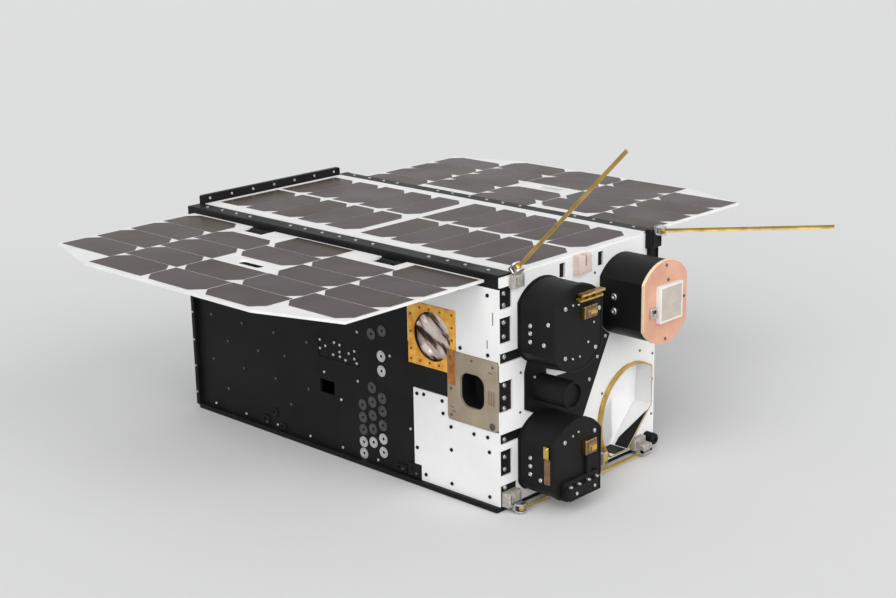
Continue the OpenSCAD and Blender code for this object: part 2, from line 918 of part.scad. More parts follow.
module tape_top_left() {
    color(gold) translate(top_left_hinge) rotate([0, 0, top_left_turn]) tape(tape_top_l);
}

module tape_top_right() {
    color(gold) translate(top_right_hinge) rotate([0, top_right_tilt, 0]) tape(tape_top_l);
}

module tape_low_right() {
    color(gold) translate(low_right_hinge) rotate([0, 0, low_right_turn]) tape(tape_low_l);
}

// Battery and electronics stack, as one plain block on the bottom panel
module avionics_block() {
    block_l = 260;
    block_w = 0.6 * body_w;
    block_h = 0.53 * body_h;
    block_x0 = -150;
    color(silver) translate([block_x0, -block_w / 2, panel_t]) cube([block_l, block_w, block_h]);
}

base_panel();
rail_right();
rail_left();
hinge_rail_right();
hinge_rail_left();
rear_plate();
side_panel_right();
side_panel_left();
hold_down_right();
hold_down_left();
radiator_upper();
radiator_lower();
blanket_frame();
blanket_foil();
sensor_plate();
sensor_box();
front_frame();
front_panel();
payload_plate();
housing_upper();
housing_lower();
housing_patch();
lid_upper();
lid_lower();
lid_foot();
centre_stub();
feed_blocks();
patch_board();
patch_tile();
patch_plug();
aperture_baffle();
aperture_mirror();
top_panel();
top_cells();
tape_holder_top_right();
tape_holder_top_left();
tape_holder_low_right();
tape_rest_low_left();
tape_clamp();
release_knob();
avionics_block();
wing_right_panel();
wing_right_cells();
wing_right_leaves();
wing_right_straps();
wing_left_panel();
wing_left_cells();
wing_left_leaves();
wing_left_straps();
tape_top_right();
tape_top_left();
tape_low_right();
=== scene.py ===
# %% [markdown]
# # A small satellite with folding solar wings
# The solids of the satellite arrive as a fixed frame in metres: X points to the payload face, Y to the
# left wing and Z up. Nothing here moves them. The lesson dresses them, and adds what a solid model
# leaves out: screws, washers, crinkled film and curved tapes.

# %% Load the solids
import json
import math

import bmesh
import bpy
from mathutils import Matrix, Vector


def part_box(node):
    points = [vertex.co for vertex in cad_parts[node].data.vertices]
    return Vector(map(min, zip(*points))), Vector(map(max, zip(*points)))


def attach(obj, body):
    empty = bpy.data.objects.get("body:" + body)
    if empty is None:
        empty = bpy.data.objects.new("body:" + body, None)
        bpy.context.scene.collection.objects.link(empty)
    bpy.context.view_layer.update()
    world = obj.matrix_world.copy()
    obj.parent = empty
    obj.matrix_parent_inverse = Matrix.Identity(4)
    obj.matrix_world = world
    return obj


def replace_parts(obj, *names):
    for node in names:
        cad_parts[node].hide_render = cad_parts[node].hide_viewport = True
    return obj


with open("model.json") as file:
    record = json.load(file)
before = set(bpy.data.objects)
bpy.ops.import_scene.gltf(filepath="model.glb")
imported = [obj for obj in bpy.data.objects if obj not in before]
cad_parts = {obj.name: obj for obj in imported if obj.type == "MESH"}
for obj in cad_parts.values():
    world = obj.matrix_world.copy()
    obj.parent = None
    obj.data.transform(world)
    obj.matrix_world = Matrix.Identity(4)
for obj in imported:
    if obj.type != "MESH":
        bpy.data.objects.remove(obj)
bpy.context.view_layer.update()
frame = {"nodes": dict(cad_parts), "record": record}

MM = 0.001
scene = bpy.context.scene

# %% [markdown]
# ## Hand tools
# Every piece starts as a primitive at its size and place, and is then worked in edit mode. A few short
# helpers stand for the moves that a hand repeats: let go of everything, add a block or a drum, pick
# faces or edges by where they are, push a face, round an edge. They take millimetres, as a drawing does.

# %% Start a piece
TURN = {"X": (0, math.pi / 2, 0), "Y": (math.pi / 2, 0, 0), "Z": (0, 0, 0)}


def let_go():
    """Go back to object mode with nothing selected."""
    held = bpy.context.object
    if held and held.mode != "OBJECT":
        bpy.ops.object.mode_set(mode="OBJECT")
    bpy.ops.object.select_all(action="DESELECT")


def settle(name):
    """Name the new piece and move its place into its mesh."""
    piece = bpy.context.object
    piece.name = piece.data.name = name
    bpy.ops.object.transform_apply(location=True, rotation=True, scale=True)
    return piece


def block(name, low, high):
    """A cube stretched between two corners."""
    let_go()
    bpy.ops.mesh.primitive_cube_add(size=1, location=[(a + b) / 2 * MM for a, b in zip(low, high)])
    bpy.context.object.scale = [(b - a) * MM for a, b in zip(low, high)]
    return settle(name)


def drum(name, middle, radius, depth, axis="Z", sides=48, ends="NGON"):
    """A cylinder along one axis."""
    let_go()
    bpy.ops.mesh.primitive_cylinder_add(
        vertices=sides, radius=radius * MM, depth=depth * MM, end_fill_type=ends,
        location=[c * MM for c in middle], rotation=TURN[axis])
    return settle(name)


print("a piece starts as a block or a drum")

# %% Pick faces and edges
def take(piece):
    """Make the piece the only one selected."""
    let_go()
    bpy.context.view_layer.objects.active = piece
    piece.select_set(True)


def pick(piece, kind, wanted):
    """Edit the piece with those faces or edges selected whose middle and direction are wanted."""
    if bpy.context.object is not piece or piece.mode != "EDIT":
        take(piece)
        bpy.ops.object.mode_set(mode="EDIT")
    bpy.ops.mesh.select_mode(type=kind)
    bpy.ops.mesh.select_all(action="DESELECT")
    shape = bmesh.from_edit_mesh(piece.data)
    shape.normal_update()
    for part in shape.faces if kind == "FACE" else shape.edges:
        ends = [v.co / MM for v in part.verts]
        middle = sum(ends, Vector()) / len(ends)
        way = part.normal if kind == "FACE" else (ends[1] - ends[0]).normalized()
        if wanted(middle, way):
            part.select_set(True)
    bmesh.update_edit_mesh(piece.data)


def everything(middle, way):
    """Pick all."""
    return True


def along(axis):
    """Pick edges that run, or faces that look, along an axis, either way."""
    return lambda middle, way: abs(getattr(way, axis)) > 0.9


def across(axis):
    """Pick edges that lie across an axis."""
    return lambda middle, way: abs(getattr(way, axis)) < 0.5


def looking(axis, sign=1):
    """Pick faces that look along an axis, one way only."""
    return lambda middle, way: getattr(way, axis) * sign > 0.9


def beyond(axis, level, sign=1):
    """Pick what lies at a level of an axis or past it."""
    return lambda middle, way: (getattr(middle, axis) - level) * sign > -0.05


def both(first, second):
    """Pick what two tests agree on."""
    return lambda middle, way: first(middle, way) and second(middle, way)


def rim(axis, level, sign=1):
    """Pick the edges round an outer face."""
    return both(across(axis), beyond(axis, level, sign))


def face(axis, level, sign=1):
    """Pick an outer face."""
    return both(looking(axis, sign), beyond(axis, level, sign))


def ridge(run, axis, level, sign=1):
    """Pick edges that run along one axis at an outer level of another."""
    return both(along(run), beyond(axis, level, sign))


print("faces and edges are picked by place and direction")

# %% Push, round and cut
def push(way, depth):
    """Extrude what is picked along a direction."""
    bpy.ops.mesh.extrude_region_move(TRANSFORM_OT_translate={"value": [w * depth * MM for w in way]})


def sink(piece, wanted, border, way, depth):
    """Leave a border round the wanted face and push the rest of it."""
    pick(piece, "FACE", wanted)
    bpy.ops.mesh.inset(thickness=border * MM, depth=0)
    push(way, depth)


def round_edges(piece, width, wanted, steps=2):
    """Bevel the wanted edges."""
    pick(piece, "EDGE", wanted)
    bpy.ops.mesh.bevel(offset=width * MM, segments=steps, affect="EDGES")


def slice_off(piece, point, way):
    """Cut the piece at a plane, throw away the side that the direction points to, and close it."""
    pick(piece, "FACE", everything)
    bpy.ops.mesh.bisect(plane_co=[p * MM for p in point], plane_no=way, use_fill=True, clear_outer=True)


def score(piece, point, way):
    """Cut new edges across the piece at a plane and keep both sides."""
    pick(piece, "FACE", everything)
    bpy.ops.mesh.bisect(plane_co=[p * MM for p in point], plane_no=way)


def treat(piece, kind, **settings):
    """Give the piece a modifier with these settings and apply it at once."""
    take(piece)
    modifier = piece.modifiers.new(kind, kind)
    for name, value in settings.items():
        setattr(modifier, name, value)
    bpy.ops.object.modifier_apply(modifier=kind)


def drill(piece, cutter):
    """Take the shape of a cutter out of the piece, and throw the cutter away."""
    treat(piece, "BOOLEAN", object=cutter)
    bpy.data.objects.remove(cutter)


print("a piece can be pushed, rounded, sliced, scored and drilled")

# %% Copy and join
def painted(piece, coat):
    """Give a part one finish before it is joined to others."""
    let_go()
    piece.data.materials.append(coat)
    return piece


def at(spot, turn):
    """The place of a finished copy: turned first, then moved to a spot in millimetres."""
    return Matrix.Translation(Vector(spot) * MM) @ turn


def twin(piece, place):
    """A copy of a piece, with a mesh of its own."""
    copy = piece.copy()
    copy.data = piece.data.copy()
    copy.matrix_world = place
    scene.collection.objects.link(copy)
    return copy


def opposite(piece, name):
    """A copy of the piece on the other side of the satellite, with its faces turned out again."""
    copy = twin(piece, Matrix.Scale(-1, 4, (0, 1, 0)))
    take(copy)
    settle(name)
    bpy.ops.object.mode_set(mode="EDIT")
    bpy.ops.mesh.select_all(action="SELECT")
    bpy.ops.mesh.normals_make_consistent(inside=False)
    let_go()
    return copy


def merge(name, parts):
    """Join pieces into one."""
    let_go()
    for part in parts:
        part.select_set(True)
    bpy.context.view_layer.objects.active = parts[0]
    bpy.ops.object.join()
    return settle(name)


print("pieces can be copied, mirrored and joined")

# %% Hand a piece over to its body
SLOTS = {part["material_slot"] for part in frame["record"]["subparts"]}


def dress(piece, coats=(), body="bus", slot=None, smooth=30):
    """Shade the piece, give it its finishes if it has none, and let it ride on a body of the satellite.

    The slot is not used: one is worked out, the first finish's or else bare metal where none is named, but it
    is not given to the piece. Blender puts a number behind a finish's name if the name was taken, so only what
    stands before the point counts.
    """
    if slot is None:
        own = coats[0].name.split(".")[0]
        slot = own if own in SLOTS else "bare_metal"
    take(piece)
    bpy.ops.object.shade_smooth_by_angle(angle=math.radians(smooth))
    for coat in coats:
        piece.data.materials.append(coat)
    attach(piece, body)
    print(f"{piece.name}: {len(piece.data.polygons)} faces on {body}")
    return piece


def second_coat(piece, wanted, index=1):
    """Give the wanted faces another of the piece's finishes."""
    for face in piece.data.polygons:
        if wanted(face.center / MM, face.normal):
            face.material_index = index


# %% [markdown]
# ## Camera
# The view is the one of a product picture: from the front right, a little above the top panel, through
# a long lens. A slight roll of the camera belongs to it as well. A constraint could aim the camera, but
# plain angles are easier to read and to change.

# %% Set up the camera
VIEW_AZIMUTH, VIEW_ELEVATION, VIEW_ROLL = 43.66, 16.02, -0.95
VIEW_PLACE, VIEW_LENS, VIEW_SENSOR, VIEW_END = (1.1267, -1.1307, 0.5954), 64.29, 36, 60
let_go()
bpy.ops.object.camera_add(location=VIEW_PLACE)
camera = bpy.context.object
camera.rotation_euler = (
    Matrix.Rotation(math.radians(VIEW_AZIMUTH), 3, "Z")
    @ Matrix.Rotation(math.radians(90 - VIEW_ELEVATION), 3, "X")
    @ Matrix.Rotation(math.radians(VIEW_ROLL), 3, "Z")).to_euler()
camera.data.lens = VIEW_LENS
camera.data.sensor_width = VIEW_SENSOR
camera.data.clip_end = VIEW_END
scene.camera = camera
print("camera at", [round(v, 3) for v in camera.location])

# %% [markdown]
# ## Floor and light
# A wide pale floor keeps the shadow of the satellite. The light is a studio's: a soft light from the right,
# a weaker one from the front, a faint one from above, and an even pale surround. Near lamps would leave
# bright pools on the floor, so these stand far off and each fills a wide angle, like a lit wall. The
# surround is brighter where it is seen, as in polished metal, than the light it gives. No real wall does
# that, but it keeps the metal lively while the blacks stay black.

# %% Floor
FLOOR_SIZE, FLOOR_DROP, FLOOR_GREY = 40, 0.0004, 0.70


def fill(node, **values):
    """Set sockets of a shader node, named with _ for each space."""
    for socket, value in values.items():
        node.inputs[socket.replace("_", " ")].default_value = value
    return node


scene.view_settings.view_transform = "Standard"
let_go()
bpy.ops.mesh.primitive_plane_add(size=FLOOR_SIZE, location=(0, 0, -FLOOR_DROP))
floor = settle("studio_floor")
paper = bpy.data.materials.new("studio_paper")
paper.use_nodes = True
fill(paper.node_tree.nodes["Principled BSDF"], Base_Color=(FLOOR_GREY, FLOOR_GREY, FLOOR_GREY, 1),
     Roughness=0.9, Specular_IOR_Level=0.1)
floor.data.materials.append(paper)
print("floor:", floor.name)

# %% Lamps
LAMPS = {  # direction, width in degrees, strength
    "soft_right": ((0.35, -0.94, 0.60), 50, 1.90),
    "soft_front": ((0.94, 0.05, 0.42), 50, 1.55),
    "soft_above": ((-0.20, 0.10, 1.00), 70, 0.15),
}
for name, (way, width, strength) in LAMPS.items():
    let_go()
    bpy.ops.object.light_add(type="SUN", location=Vector(way) * 3)
    lamp = bpy.context.object
    lamp.name = name
    lamp.data.angle = math.radians(width)
    lamp.data.energy = strength
    lamp.rotation_euler = Vector(way).to_track_quat("Z", "Y").to_euler()
print("lamps:", ", ".join(LAMPS))

# %% Surround
SURROUND_LIGHT, SURROUND_SEEN, SURROUND_TINT = 0.50, 1.0, (0.94, 0.95, 0.96, 1)
surround = bpy.data.worlds.new("studio_surround")
surround.use_nodes = True
scene.world = surround
tree = surround.node_tree
seen = tree.nodes.new("ShaderNodeLightPath")
either = tree.nodes.new("ShaderNodeMath")
either.operation = "MAXIMUM"
any_of = tree.nodes.new("ShaderNodeMath")
any_of.operation = "MAXIMUM"
level = fill(tree.nodes.new("ShaderNodeMapRange"), To_Min=SURROUND_LIGHT, To_Max=SURROUND_SEEN)
glow = fill(tree.nodes["Background"], Color=SURROUND_TINT)
for source, target in (
        (seen.outputs["Is Camera Ray"], either.inputs[0]), (seen.outputs["Is Glossy Ray"], either.inputs[1]),
        (either.outputs[0], any_of.inputs[0]), (seen.outputs["Is Transmission Ray"], any_of.inputs[1]),
        (any_of.outputs[0], level.inputs["Value"]), (level.outputs[0], glow.inputs["Strength"])):
    tree.links.new(source, target)
print("surround:", surround.name)

# %% [markdown]
# ## Finishes
# A real coat is never one colour: it has slow blotches from handling, a fine grain from blasting or
# spraying, and a sheen that changes with both. One helper builds these three layers from noise in
# object space, so they keep their size in millimetres on every piece. Each finish is then one call.

# %% Nodes of a coat
def noise(tree, source, size, detail=3.0, stretch=None, turn=None):
    """Noise with features of that many millimetres, longer along turned axes where a finish has a lay."""
    texture = fill(tree.nodes.new("ShaderNodeTexNoise"), Scale=1 / (size * MM), Detail=detail)
    if stretch:
        lay = fill(tree.nodes.new("ShaderNodeMapping"), Scale=stretch, Rotation=turn or (0, 0, 0))
        lay.vector_type = "TEXTURE"
        tree.links.new(source, lay.inputs["Vector"])
        source = lay.outputs["Vector"]
    tree.links.new(source, texture.inputs["Vector"])
    return texture.outputs["Fac"]


def ramp(tree, source, stops):
    """Colours along a value: (position, colour) pairs."""
    blend = tree.nodes.new("ShaderNodeValToRGB")
    elements = blend.color_ramp.elements
    elements[0].position, elements[1].position = stops[0][0], stops[-1][0]
    for position, _ in stops[1:-1]:
        elements.new(position)
    for element, (_, colour) in zip(elements, stops):
        element.color = (*colour, 1)
    tree.links.new(source, blend.inputs["Fac"])
    return blend.outputs["Color"]


def spread(tree, source, low, high, out_low, out_high):
    """A value range turned into another."""
    band = fill(tree.nodes.new("ShaderNodeMapRange"),
                From_Min=low, From_Max=high, To_Min=out_low, To_Max=out_high)
    tree.links.new(source, band.inputs["Value"])
    return band.outputs["Result"]


def bump(tree, shader, source, height, strength=0.4):
    """Fine relief of that height in millimetres."""
    relief = fill(tree.nodes.new("ShaderNodeBump"), Distance=height * MM, Strength=strength)
    tree.links.new(source, relief.inputs["Height"])
    tree.links.new(relief.outputs["Normal"], shader.inputs["Normal"])


print("a coat has noise, colours, ranges and relief")

# %% Build a coat
def blank(name, **sockets):
    """A new finish with fixed values on its shader, and its object coordinates."""
    coat = bpy.data.materials.new(name)
    coat.use_nodes = True
    shader = fill(coat.node_tree.nodes["Principled BSDF"], **sockets)
    source = coat.node_tree.nodes.new("ShaderNodeTexCoord").outputs["Object"]
    return coat, coat.node_tree, shader, source


def finish(name, dark, light, rough, blotch=40, grain=0.7, relief=0.05, stretch=None, turn=None, **sockets):
    """A coat between two colours, with a roughness range, blotches and a grain."""
    coat, tree, shader, source = blank(name, **sockets)
    slow = noise(tree, source, blotch, 4.0)
    fine = noise(tree, source, grain, 2.0, stretch, turn)
    tree.links.new(ramp(tree, slow, [(0.33, dark), (0.67, light)]), shader.inputs["Base Color"])
    tree.links.new(spread(tree, slow, 0.3, 0.7, *rough), shader.inputs["Roughness"])
    bump(tree, shader, fine, relief)
    return coat


print("a coat is blotch, grain and sheen")

# %% Metals and paints
black_anodised = finish("black_anodised", (0.0065, 0.0065, 0.007), (0.0110, 0.0110, 0.0115), (0.40, 0.56),
                        grain=0.5, relief=0.03, Specular_IOR_Level=0.1)
white_paint = finish("white_paint", (0.74, 0.74, 0.735), (0.80, 0.80, 0.795), (0.55, 0.7),
                     blotch=55, grain=1.1, relief=0.04, Specular_IOR_Level=0.3)
white_substrate = finish("white_substrate", (0.72, 0.715, 0.71), (0.79, 0.785, 0.78), (0.45, 0.6),
                         blotch=25, grain=0.8, relief=0.05, stretch=(1, 6, 1), Specular_IOR_Level=0.3)
bare_metal = finish("bare_metal", (0.52, 0.52, 0.52), (0.66, 0.66, 0.65), (0.25, 0.42),
                    blotch=3, grain=0.4, relief=0.02, Metallic=1.0)
gold_plate = finish("gold_plate", (0.58, 0.37, 0.07), (0.80, 0.56, 0.16), (0.18, 0.32),
                    blotch=6, grain=0.5, relief=0.02, Metallic=1.0)
gold_tape = finish("gold_tape", (0.40, 0.265, 0.07), (0.54, 0.375, 0.12), (0.28, 0.42),
                   blotch=14, grain=0.5, relief=0.02, stretch=(8, 1, 1), Metallic=1.0)
bright_metal = finish("bright_metal", (0.72, 0.72, 0.71), (0.86, 0.86, 0.85), (0.3, 0.45),
                      blotch=3, grain=0.4, relief=0.02, Metallic=0.7)
dull_metal = finish("dull_metal", (0.10, 0.10, 0.10), (0.17, 0.17, 0.165), (0.4, 0.55),
                    blotch=4, grain=0.4, relief=0.02, Metallic=0.8)
baffle_gold = finish("baffle_gold", (0.48, 0.32, 0.09), (0.74, 0.52, 0.18), (0.3, 0.5),
                     blotch=18, grain=0.6, relief=0.03, Metallic=1.0)
mirror_coat = finish("mirror_coat", (0.90, 0.90, 0.91), (0.95, 0.95, 0.95), (0.06, 0.12),
                     blotch=60, grain=30, relief=0.001, Metallic=0.35, Coat_Weight=1.0, Coat_Roughness=0.03)
print("metals and paints:", black_anodised.name, white_paint.name, gold_tape.name)

# %% Plastics, boards and film
tan_plate = finish("tan_plate", (0.255, 0.208, 0.148), (0.32, 0.265, 0.195), (0.5, 0.62),
                   blotch=20, grain=0.6, relief=0.05, Specular_IOR_Level=0.3)
pale_ceramic = finish("pale_ceramic", (0.43, 0.38, 0.335), (0.50, 0.445, 0.395), (0.4, 0.55),
                      blotch=12, grain=0.5, relief=0.03, Specular_IOR_Level=0.35)
white_ceramic = finish("white_ceramic", (0.66, 0.65, 0.63), (0.72, 0.71, 0.69), (0.35, 0.5),
                       blotch=12, grain=0.5, relief=0.02, Specular_IOR_Level=0.35)
copper_board = finish("copper_board", (0.56, 0.29, 0.19), (0.66, 0.36, 0.245), (0.35, 0.48),
                      blotch=22, grain=0.5, relief=0.02, Specular_IOR_Level=0.4)
board_edge = finish("board_edge", (0.70, 0.58, 0.36), (0.80, 0.68, 0.45), (0.5, 0.6),
                    blotch=8, grain=0.5, relief=0.04, stretch=(8, 1, 1))
holder_resin = finish("holder_resin", (0.56, 0.44, 0.38), (0.68, 0.56, 0.50), (0.28, 0.42),
                      blotch=9, grain=0.8, relief=0.03, Subsurface_Weight=0.25,
                      Subsurface_Radius=(0.004, 0.002, 0.0015))
orange_film = finish("orange_film", (0.64, 0.26, 0.02), (0.86, 0.46, 0.07), (0.22, 0.36),
                     blotch=9, grain=6, relief=0.3, Specular_IOR_Level=0.3)
smoked_resin = finish("smoked_resin", (0.34, 0.32, 0.29), (0.52, 0.49, 0.45), (0.16, 0.3),
                      blotch=5, grain=0.8, relief=0.03, Transmission_Weight=0.25, IOR=1.49)
brown_laminate = finish("brown_laminate", (0.13, 0.070, 0.035), (0.20, 0.115, 0.062), (0.3, 0.45),
                        blotch=6, grain=0.5, relief=0.03, stretch=(1, 1, 8), Specular_IOR_Level=0.35)
print("plastics and film:", tan_plate.name, orange_film.name)

# %% [markdown]
# ## Dress the solids
# The record says which slot each solid belongs to, so one loop hands every solid its finish. The solids
# that get a finer stand-in later are dressed too, which does no harm.

# %% Finishes by slot
COATS = {
    "black_anodised": black_anodised, "white_paint": white_paint, "white_substrate": white_substrate,
    "solar_cell": black_anodised, "orange_film": orange_film, "crinkled_foil": bare_metal,
    "tan_plate": tan_plate, "gold_plate": gold_plate, "copper_board": copper_board,
    "pale_ceramic": pale_ceramic, "bare_metal": bare_metal, "baffle_gold": baffle_gold,
    "mirror_coat": mirror_coat, "holder_resin": holder_resin, "gold_tape": gold_tape,
}
for part in frame["record"]["subparts"]:
    solid = frame["nodes"][part["node"]]
    solid.data.materials.clear()
    solid.data.materials.append(COATS[part["material_slot"]])

# %% [markdown]
# ## Solar cells
# Each cell is a glass-covered wafer of 80 by 40 mm with two clipped corners. One is modelled: a thin
# block, two corners bevelled off in one step, and a narrow border set off from the face. The copies each
# carry a tint of their own as an attribute, because cells from one batch still differ a little.

# %% Finish of the cells
FINGERS_PER_M = 180


def cell_finish(name, bands):
    """Dark glass over fine contact fingers that run across the cell."""
    coat, tree, shader, source = blank(name, Specular_IOR_Level=0.03, Coat_Weight=0.02, Coat_Roughness=0.1)
    tint = tree.nodes.new("ShaderNodeAttribute")
    tint.attribute_name = "tint"
    base = ramp(tree, tint.outputs["Fac"], [
        (0.0, (0.066, 0.050, 0.040)), (0.5, (0.073, 0.057, 0.053)), (1.0, (0.081, 0.060, 0.066))])
    fingers = fill(tree.nodes.new("ShaderNodeTexWave"), Scale=FINGERS_PER_M)
    fingers.bands_direction = bands
    shade = tree.nodes.new("ShaderNodeMix")
    shade.data_type = "RGBA"
    shade.blend_type = "MULTIPLY"
    tree.links.new(spread(tree, fingers.outputs["Fac"], 0.75, 1.0, 0.0, 0.12), shade.inputs["Factor"])
    tree.links.new(source, fingers.inputs["Vector"])
    tree.links.new(base, shade.inputs[6])
    shade.inputs[7].default_value = (0.3, 0.3, 0.32, 1)
    tree.links.new(shade.outputs[2], shader.inputs["Base Color"])
    haze = noise(tree, source, 60, 3.0)
    tree.links.new(spread(tree, haze, 0.3, 0.7, 0.22, 0.36), shader.inputs["Roughness"])
    return coat


wing_cell = cell_finish("wing_cell_glass", "X")
top_cell = cell_finish("top_cell_glass", "Y")
cell_border = finish("cell_border", (0.20, 0.19, 0.18), (0.30, 0.29, 0.28), (0.3, 0.4),
                     blotch=5, Metallic=0.6)
print("cells:", wing_cell.name, top_cell.name)

# %% Model one cell
CELL_L, CELL_W, CELL_T, CELL_CLIP, CELL_RIM, CELL_PITCH = 80, 40, 0.4, 11, 0.5, 41.2
patterns = []
cell = block("cell_pattern", (-CELL_L / 2, -CELL_W / 2, 0), (CELL_L / 2, CELL_W / 2, CELL_T))
round_edges(cell, CELL_CLIP, ridge("z", "y", CELL_W / 2), steps=1)
pick(cell, "FACE", looking("z"))
bpy.ops.mesh.inset(thickness=CELL_RIM * MM, depth=0)
let_go()
patterns.append(cell)
print("one cell:", len(cell.data.polygons), "faces")

# %% Lay the cells
def lay_cells(name, places, glass, body, node):
    """Copies of the cell at (x, y, z, turn), each with its own tint."""
    copies = []
    for n, (x, y, z, turn) in enumerate(places):
        copy = twin(cell, at((x, y, z), Matrix.Rotation(math.radians(turn), 4, "Z")))
        tint = copy.data.attributes.new("tint", "FLOAT", "FACE")
        tint.data.foreach_set("value", [((n * 5 + n // 4 * 3) % 9) / 8] * len(copy.data.polygons))
        copies.append(copy)
    cells = dress(merge(name, copies), [glass, cell_border], body, "solar_cell")
    second_coat(cells, lambda middle, way: way.z < 0.9)
    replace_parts(cells, node)
    return cells


WING_X0, WING_STEP, WING_TOP, ROOT_Y, SLOT_SKIP = -205, 81.75, 219.2, 117, 25.6
COLUMN_START = (4, 28, 3, 28, 4)
SIDES = ((-1, "right"), (1, "left"))
for side, word in SIDES:
    places = []
    for column, start in enumerate(COLUMN_START):
        inward = column != 2 and (column < 2) == (side < 0)
        for row in range(4):
            out = ROOT_Y + start + row * CELL_PITCH + CELL_W / 2
            out += SLOT_SKIP if column == 2 and row > 1 else 0
            turn = 180 if (side < 0) != inward else 0
            places.append((WING_X0 + column * WING_STEP + CELL_L / 2, side * out, WING_TOP, turn))
    lay_cells(f"wing_{word}_cell_set", places, wing_cell, "wing_" + word, f"wing_{word}_cells")
TOP_GROUPS, TOP_Z, TOP_GAP = (-207, 10), 225.6, 3
places = [(x + i * CELL_PITCH + CELL_W / 2, side * (TOP_GAP + CELL_L / 2), TOP_Z, -90)
          for side in (-1, 1) for x in TOP_GROUPS for i in range(5)]
lay_cells("top_cell_set", places, top_cell, "bus", "top_cells")

# %% [markdown]
# ## Screws, washers and studs
# The shell is held by hundreds of small steel screws. One cap screw is modelled from a twelve-sided drum:
# its top is inset and pushed down for the socket, and its rim is bevelled. It stays at a few dozen faces
# because it is copied so often. The wide washers on the right side are made the same way.

# %% Model one screw, one washer and one stud
SCREW_R, SCREW_H, WASHER_R, WASHER_H, STUD_R, STUD_H = 2.1, 1.4, 4.9, 0.8, 1.5, 1.2
screw = drum("screw_pattern", (0, 0, SCREW_H / 2), SCREW_R, SCREW_H, sides=12)
round_edges(screw, 0.3, rim("z", SCREW_H), steps=1)
sink(screw, looking("z"), 0.75, (0, 0, -1), 0.8)
washer = drum("washer_pattern", (0, 0, WASHER_H / 2), WASHER_R, WASHER_H, sides=28)
round_edges(washer, 0.35, rim("z", WASHER_H), steps=1)
sink(washer, looking("z"), 0.9, (0, 0, -1), 0.2)
sink(washer, looking("z"), 1.9, (0, 0, -1), 0.5)
stud = drum("stud_pattern", (0, 0, STUD_H / 2), STUD_R, STUD_H, sides=12)
round_edges(stud, 0.5, rim("z", STUD_H))
let_go()
patterns += [screw, washer, stud]
print("faces of screw, washer, stud:", [len(p.data.polygons) for p in (screw, washer, stud)])

# %% Copy them to a face
FACING = {
    "top": Matrix.Identity(4), "bottom": Matrix.Rotation(math.pi, 4, "X"),
    "right": Matrix.Rotation(math.pi / 2, 4, "X"), "left": Matrix.Rotation(-math.pi / 2, 4, "X"),
    "front": Matrix.Rotation(math.pi / 2, 4, "Y"), "rear": Matrix.Rotation(-math.pi / 2, 4, "Y"),
}


def repeat(name, pattern, spots, facing, coats=(bare_metal,), body="bus", size=1.0):
    """Copies of a pattern on one face, each turned a little, as one piece."""
    copies = []
    for n, spot in enumerate(spots):
        twist = Matrix.Rotation(0.7 * n, 4, "Z")
        copies.append(twin(pattern, at(spot, FACING[facing] @ twist @ Matrix.Scale(size, 4))))
    return dress(merge(name, copies), coats, body)


print("a pattern can face:", ", ".join(FACING))

# %% [markdown]
# ## Side walls
# Each black side wall carries a grid of small screws. On the right one a cluster of wide washers covers
# the tapped holes of an equipment plate. They could be set one by one by hand, but lists of X and Z keep
# rows and columns exact, and the same grid serves both walls.

# %% Screws and washers of the side walls
SKIN_Y = 114.5
GRID = [(x, z) for x in (-194, -143, -92, -41, 8) for z in (9, 60, 110)]
GRID += [(-168, 85), (-118, 85), (-76, 88), (-16, 84), (33, 85), (-171, 31), (-69, 37), (59, 9), (34, 136),
         (79, 121), (105, 53), (-168, 160), (-92, 160), (-194, 190), (-41, 190), (60, 190)]
WASHERS = [(39, z) for z in (11, 23, 36, 49, 62)] + [(53, z) for z in (26, 40, 54, 68, 83)]
WASHERS += [(67, z) for z in (19, 33, 47, 62, 75, 103, 118)]
BRIGHT = [(39, 11), (39, 23), (53, 26), (67, 19), (67, 33), (67, 103), (67, 118)]
DIM = [spot for spot in WASHERS if spot not in BRIGHT] + [(54, 138), (69, 144)]


def on_right(spots, y=SKIN_Y):
    """Places on the right wall, from X and Z."""
    return [(x, -y, z) for x, z in spots]


def on_left(spots, y=SKIN_Y):
    """Places on the left wall, from X and Z."""
    return [(x, y, z) for x, z in spots]


WALLS = (("right", on_right), ("left", on_left))
for word, on_wall in WALLS:
    heads = repeat("screws_side_" + word, screw, on_wall(GRID), word, [dull_metal, bare_metal], size=0.7)
    second_coat(heads, lambda middle, way: middle.z < 12 or middle.x > -20)
for name, spots, coat in (("washers_bright", BRIGHT, bright_metal), ("washers_dull", DIM, dull_metal)):
    rings = repeat(name, washer, on_right(spots), "right", [coat, black_anodised])
    second_coat(rings, lambda middle, way: way.y < -0.9 and middle.y > -SKIN_Y - 0.3)
EDGE_X, EDGE_Y, EDGE_Z = -219.5, 120, (18, 48, 78, 109, 140, 170, 198)
for word, on_wall in WALLS:
    spots = on_wall([(EDGE_X, z) for z in EDGE_Z], EDGE_Y)
    repeat("screws_rear_edge_" + word, stud, spots, word, size=0.9)

# %% [markdown]
# ## Hold-down blocks
# Before flight a wing is tied to a dark block in the middle of the side wall. Each block is crowded with
# bright studs. A particle system could scatter them, but real studs have set places, so one stud with a
# rounded head is copied to the same places on both sides.

# %% Studs of the hold-down blocks
STUDS = [(-21, 117), (0, 118), (8, 117), (-13, 112), (-21, 108), (29, 115), (21, 111), (-2, 105), (8, 105),
         (29, 107), (32, 103), (16, 103)]
HOLD_Y = 114
for word, on_wall in WALLS:
    repeat("hold_down_studs_" + word, stud, on_wall(STUDS, HOLD_Y), word)

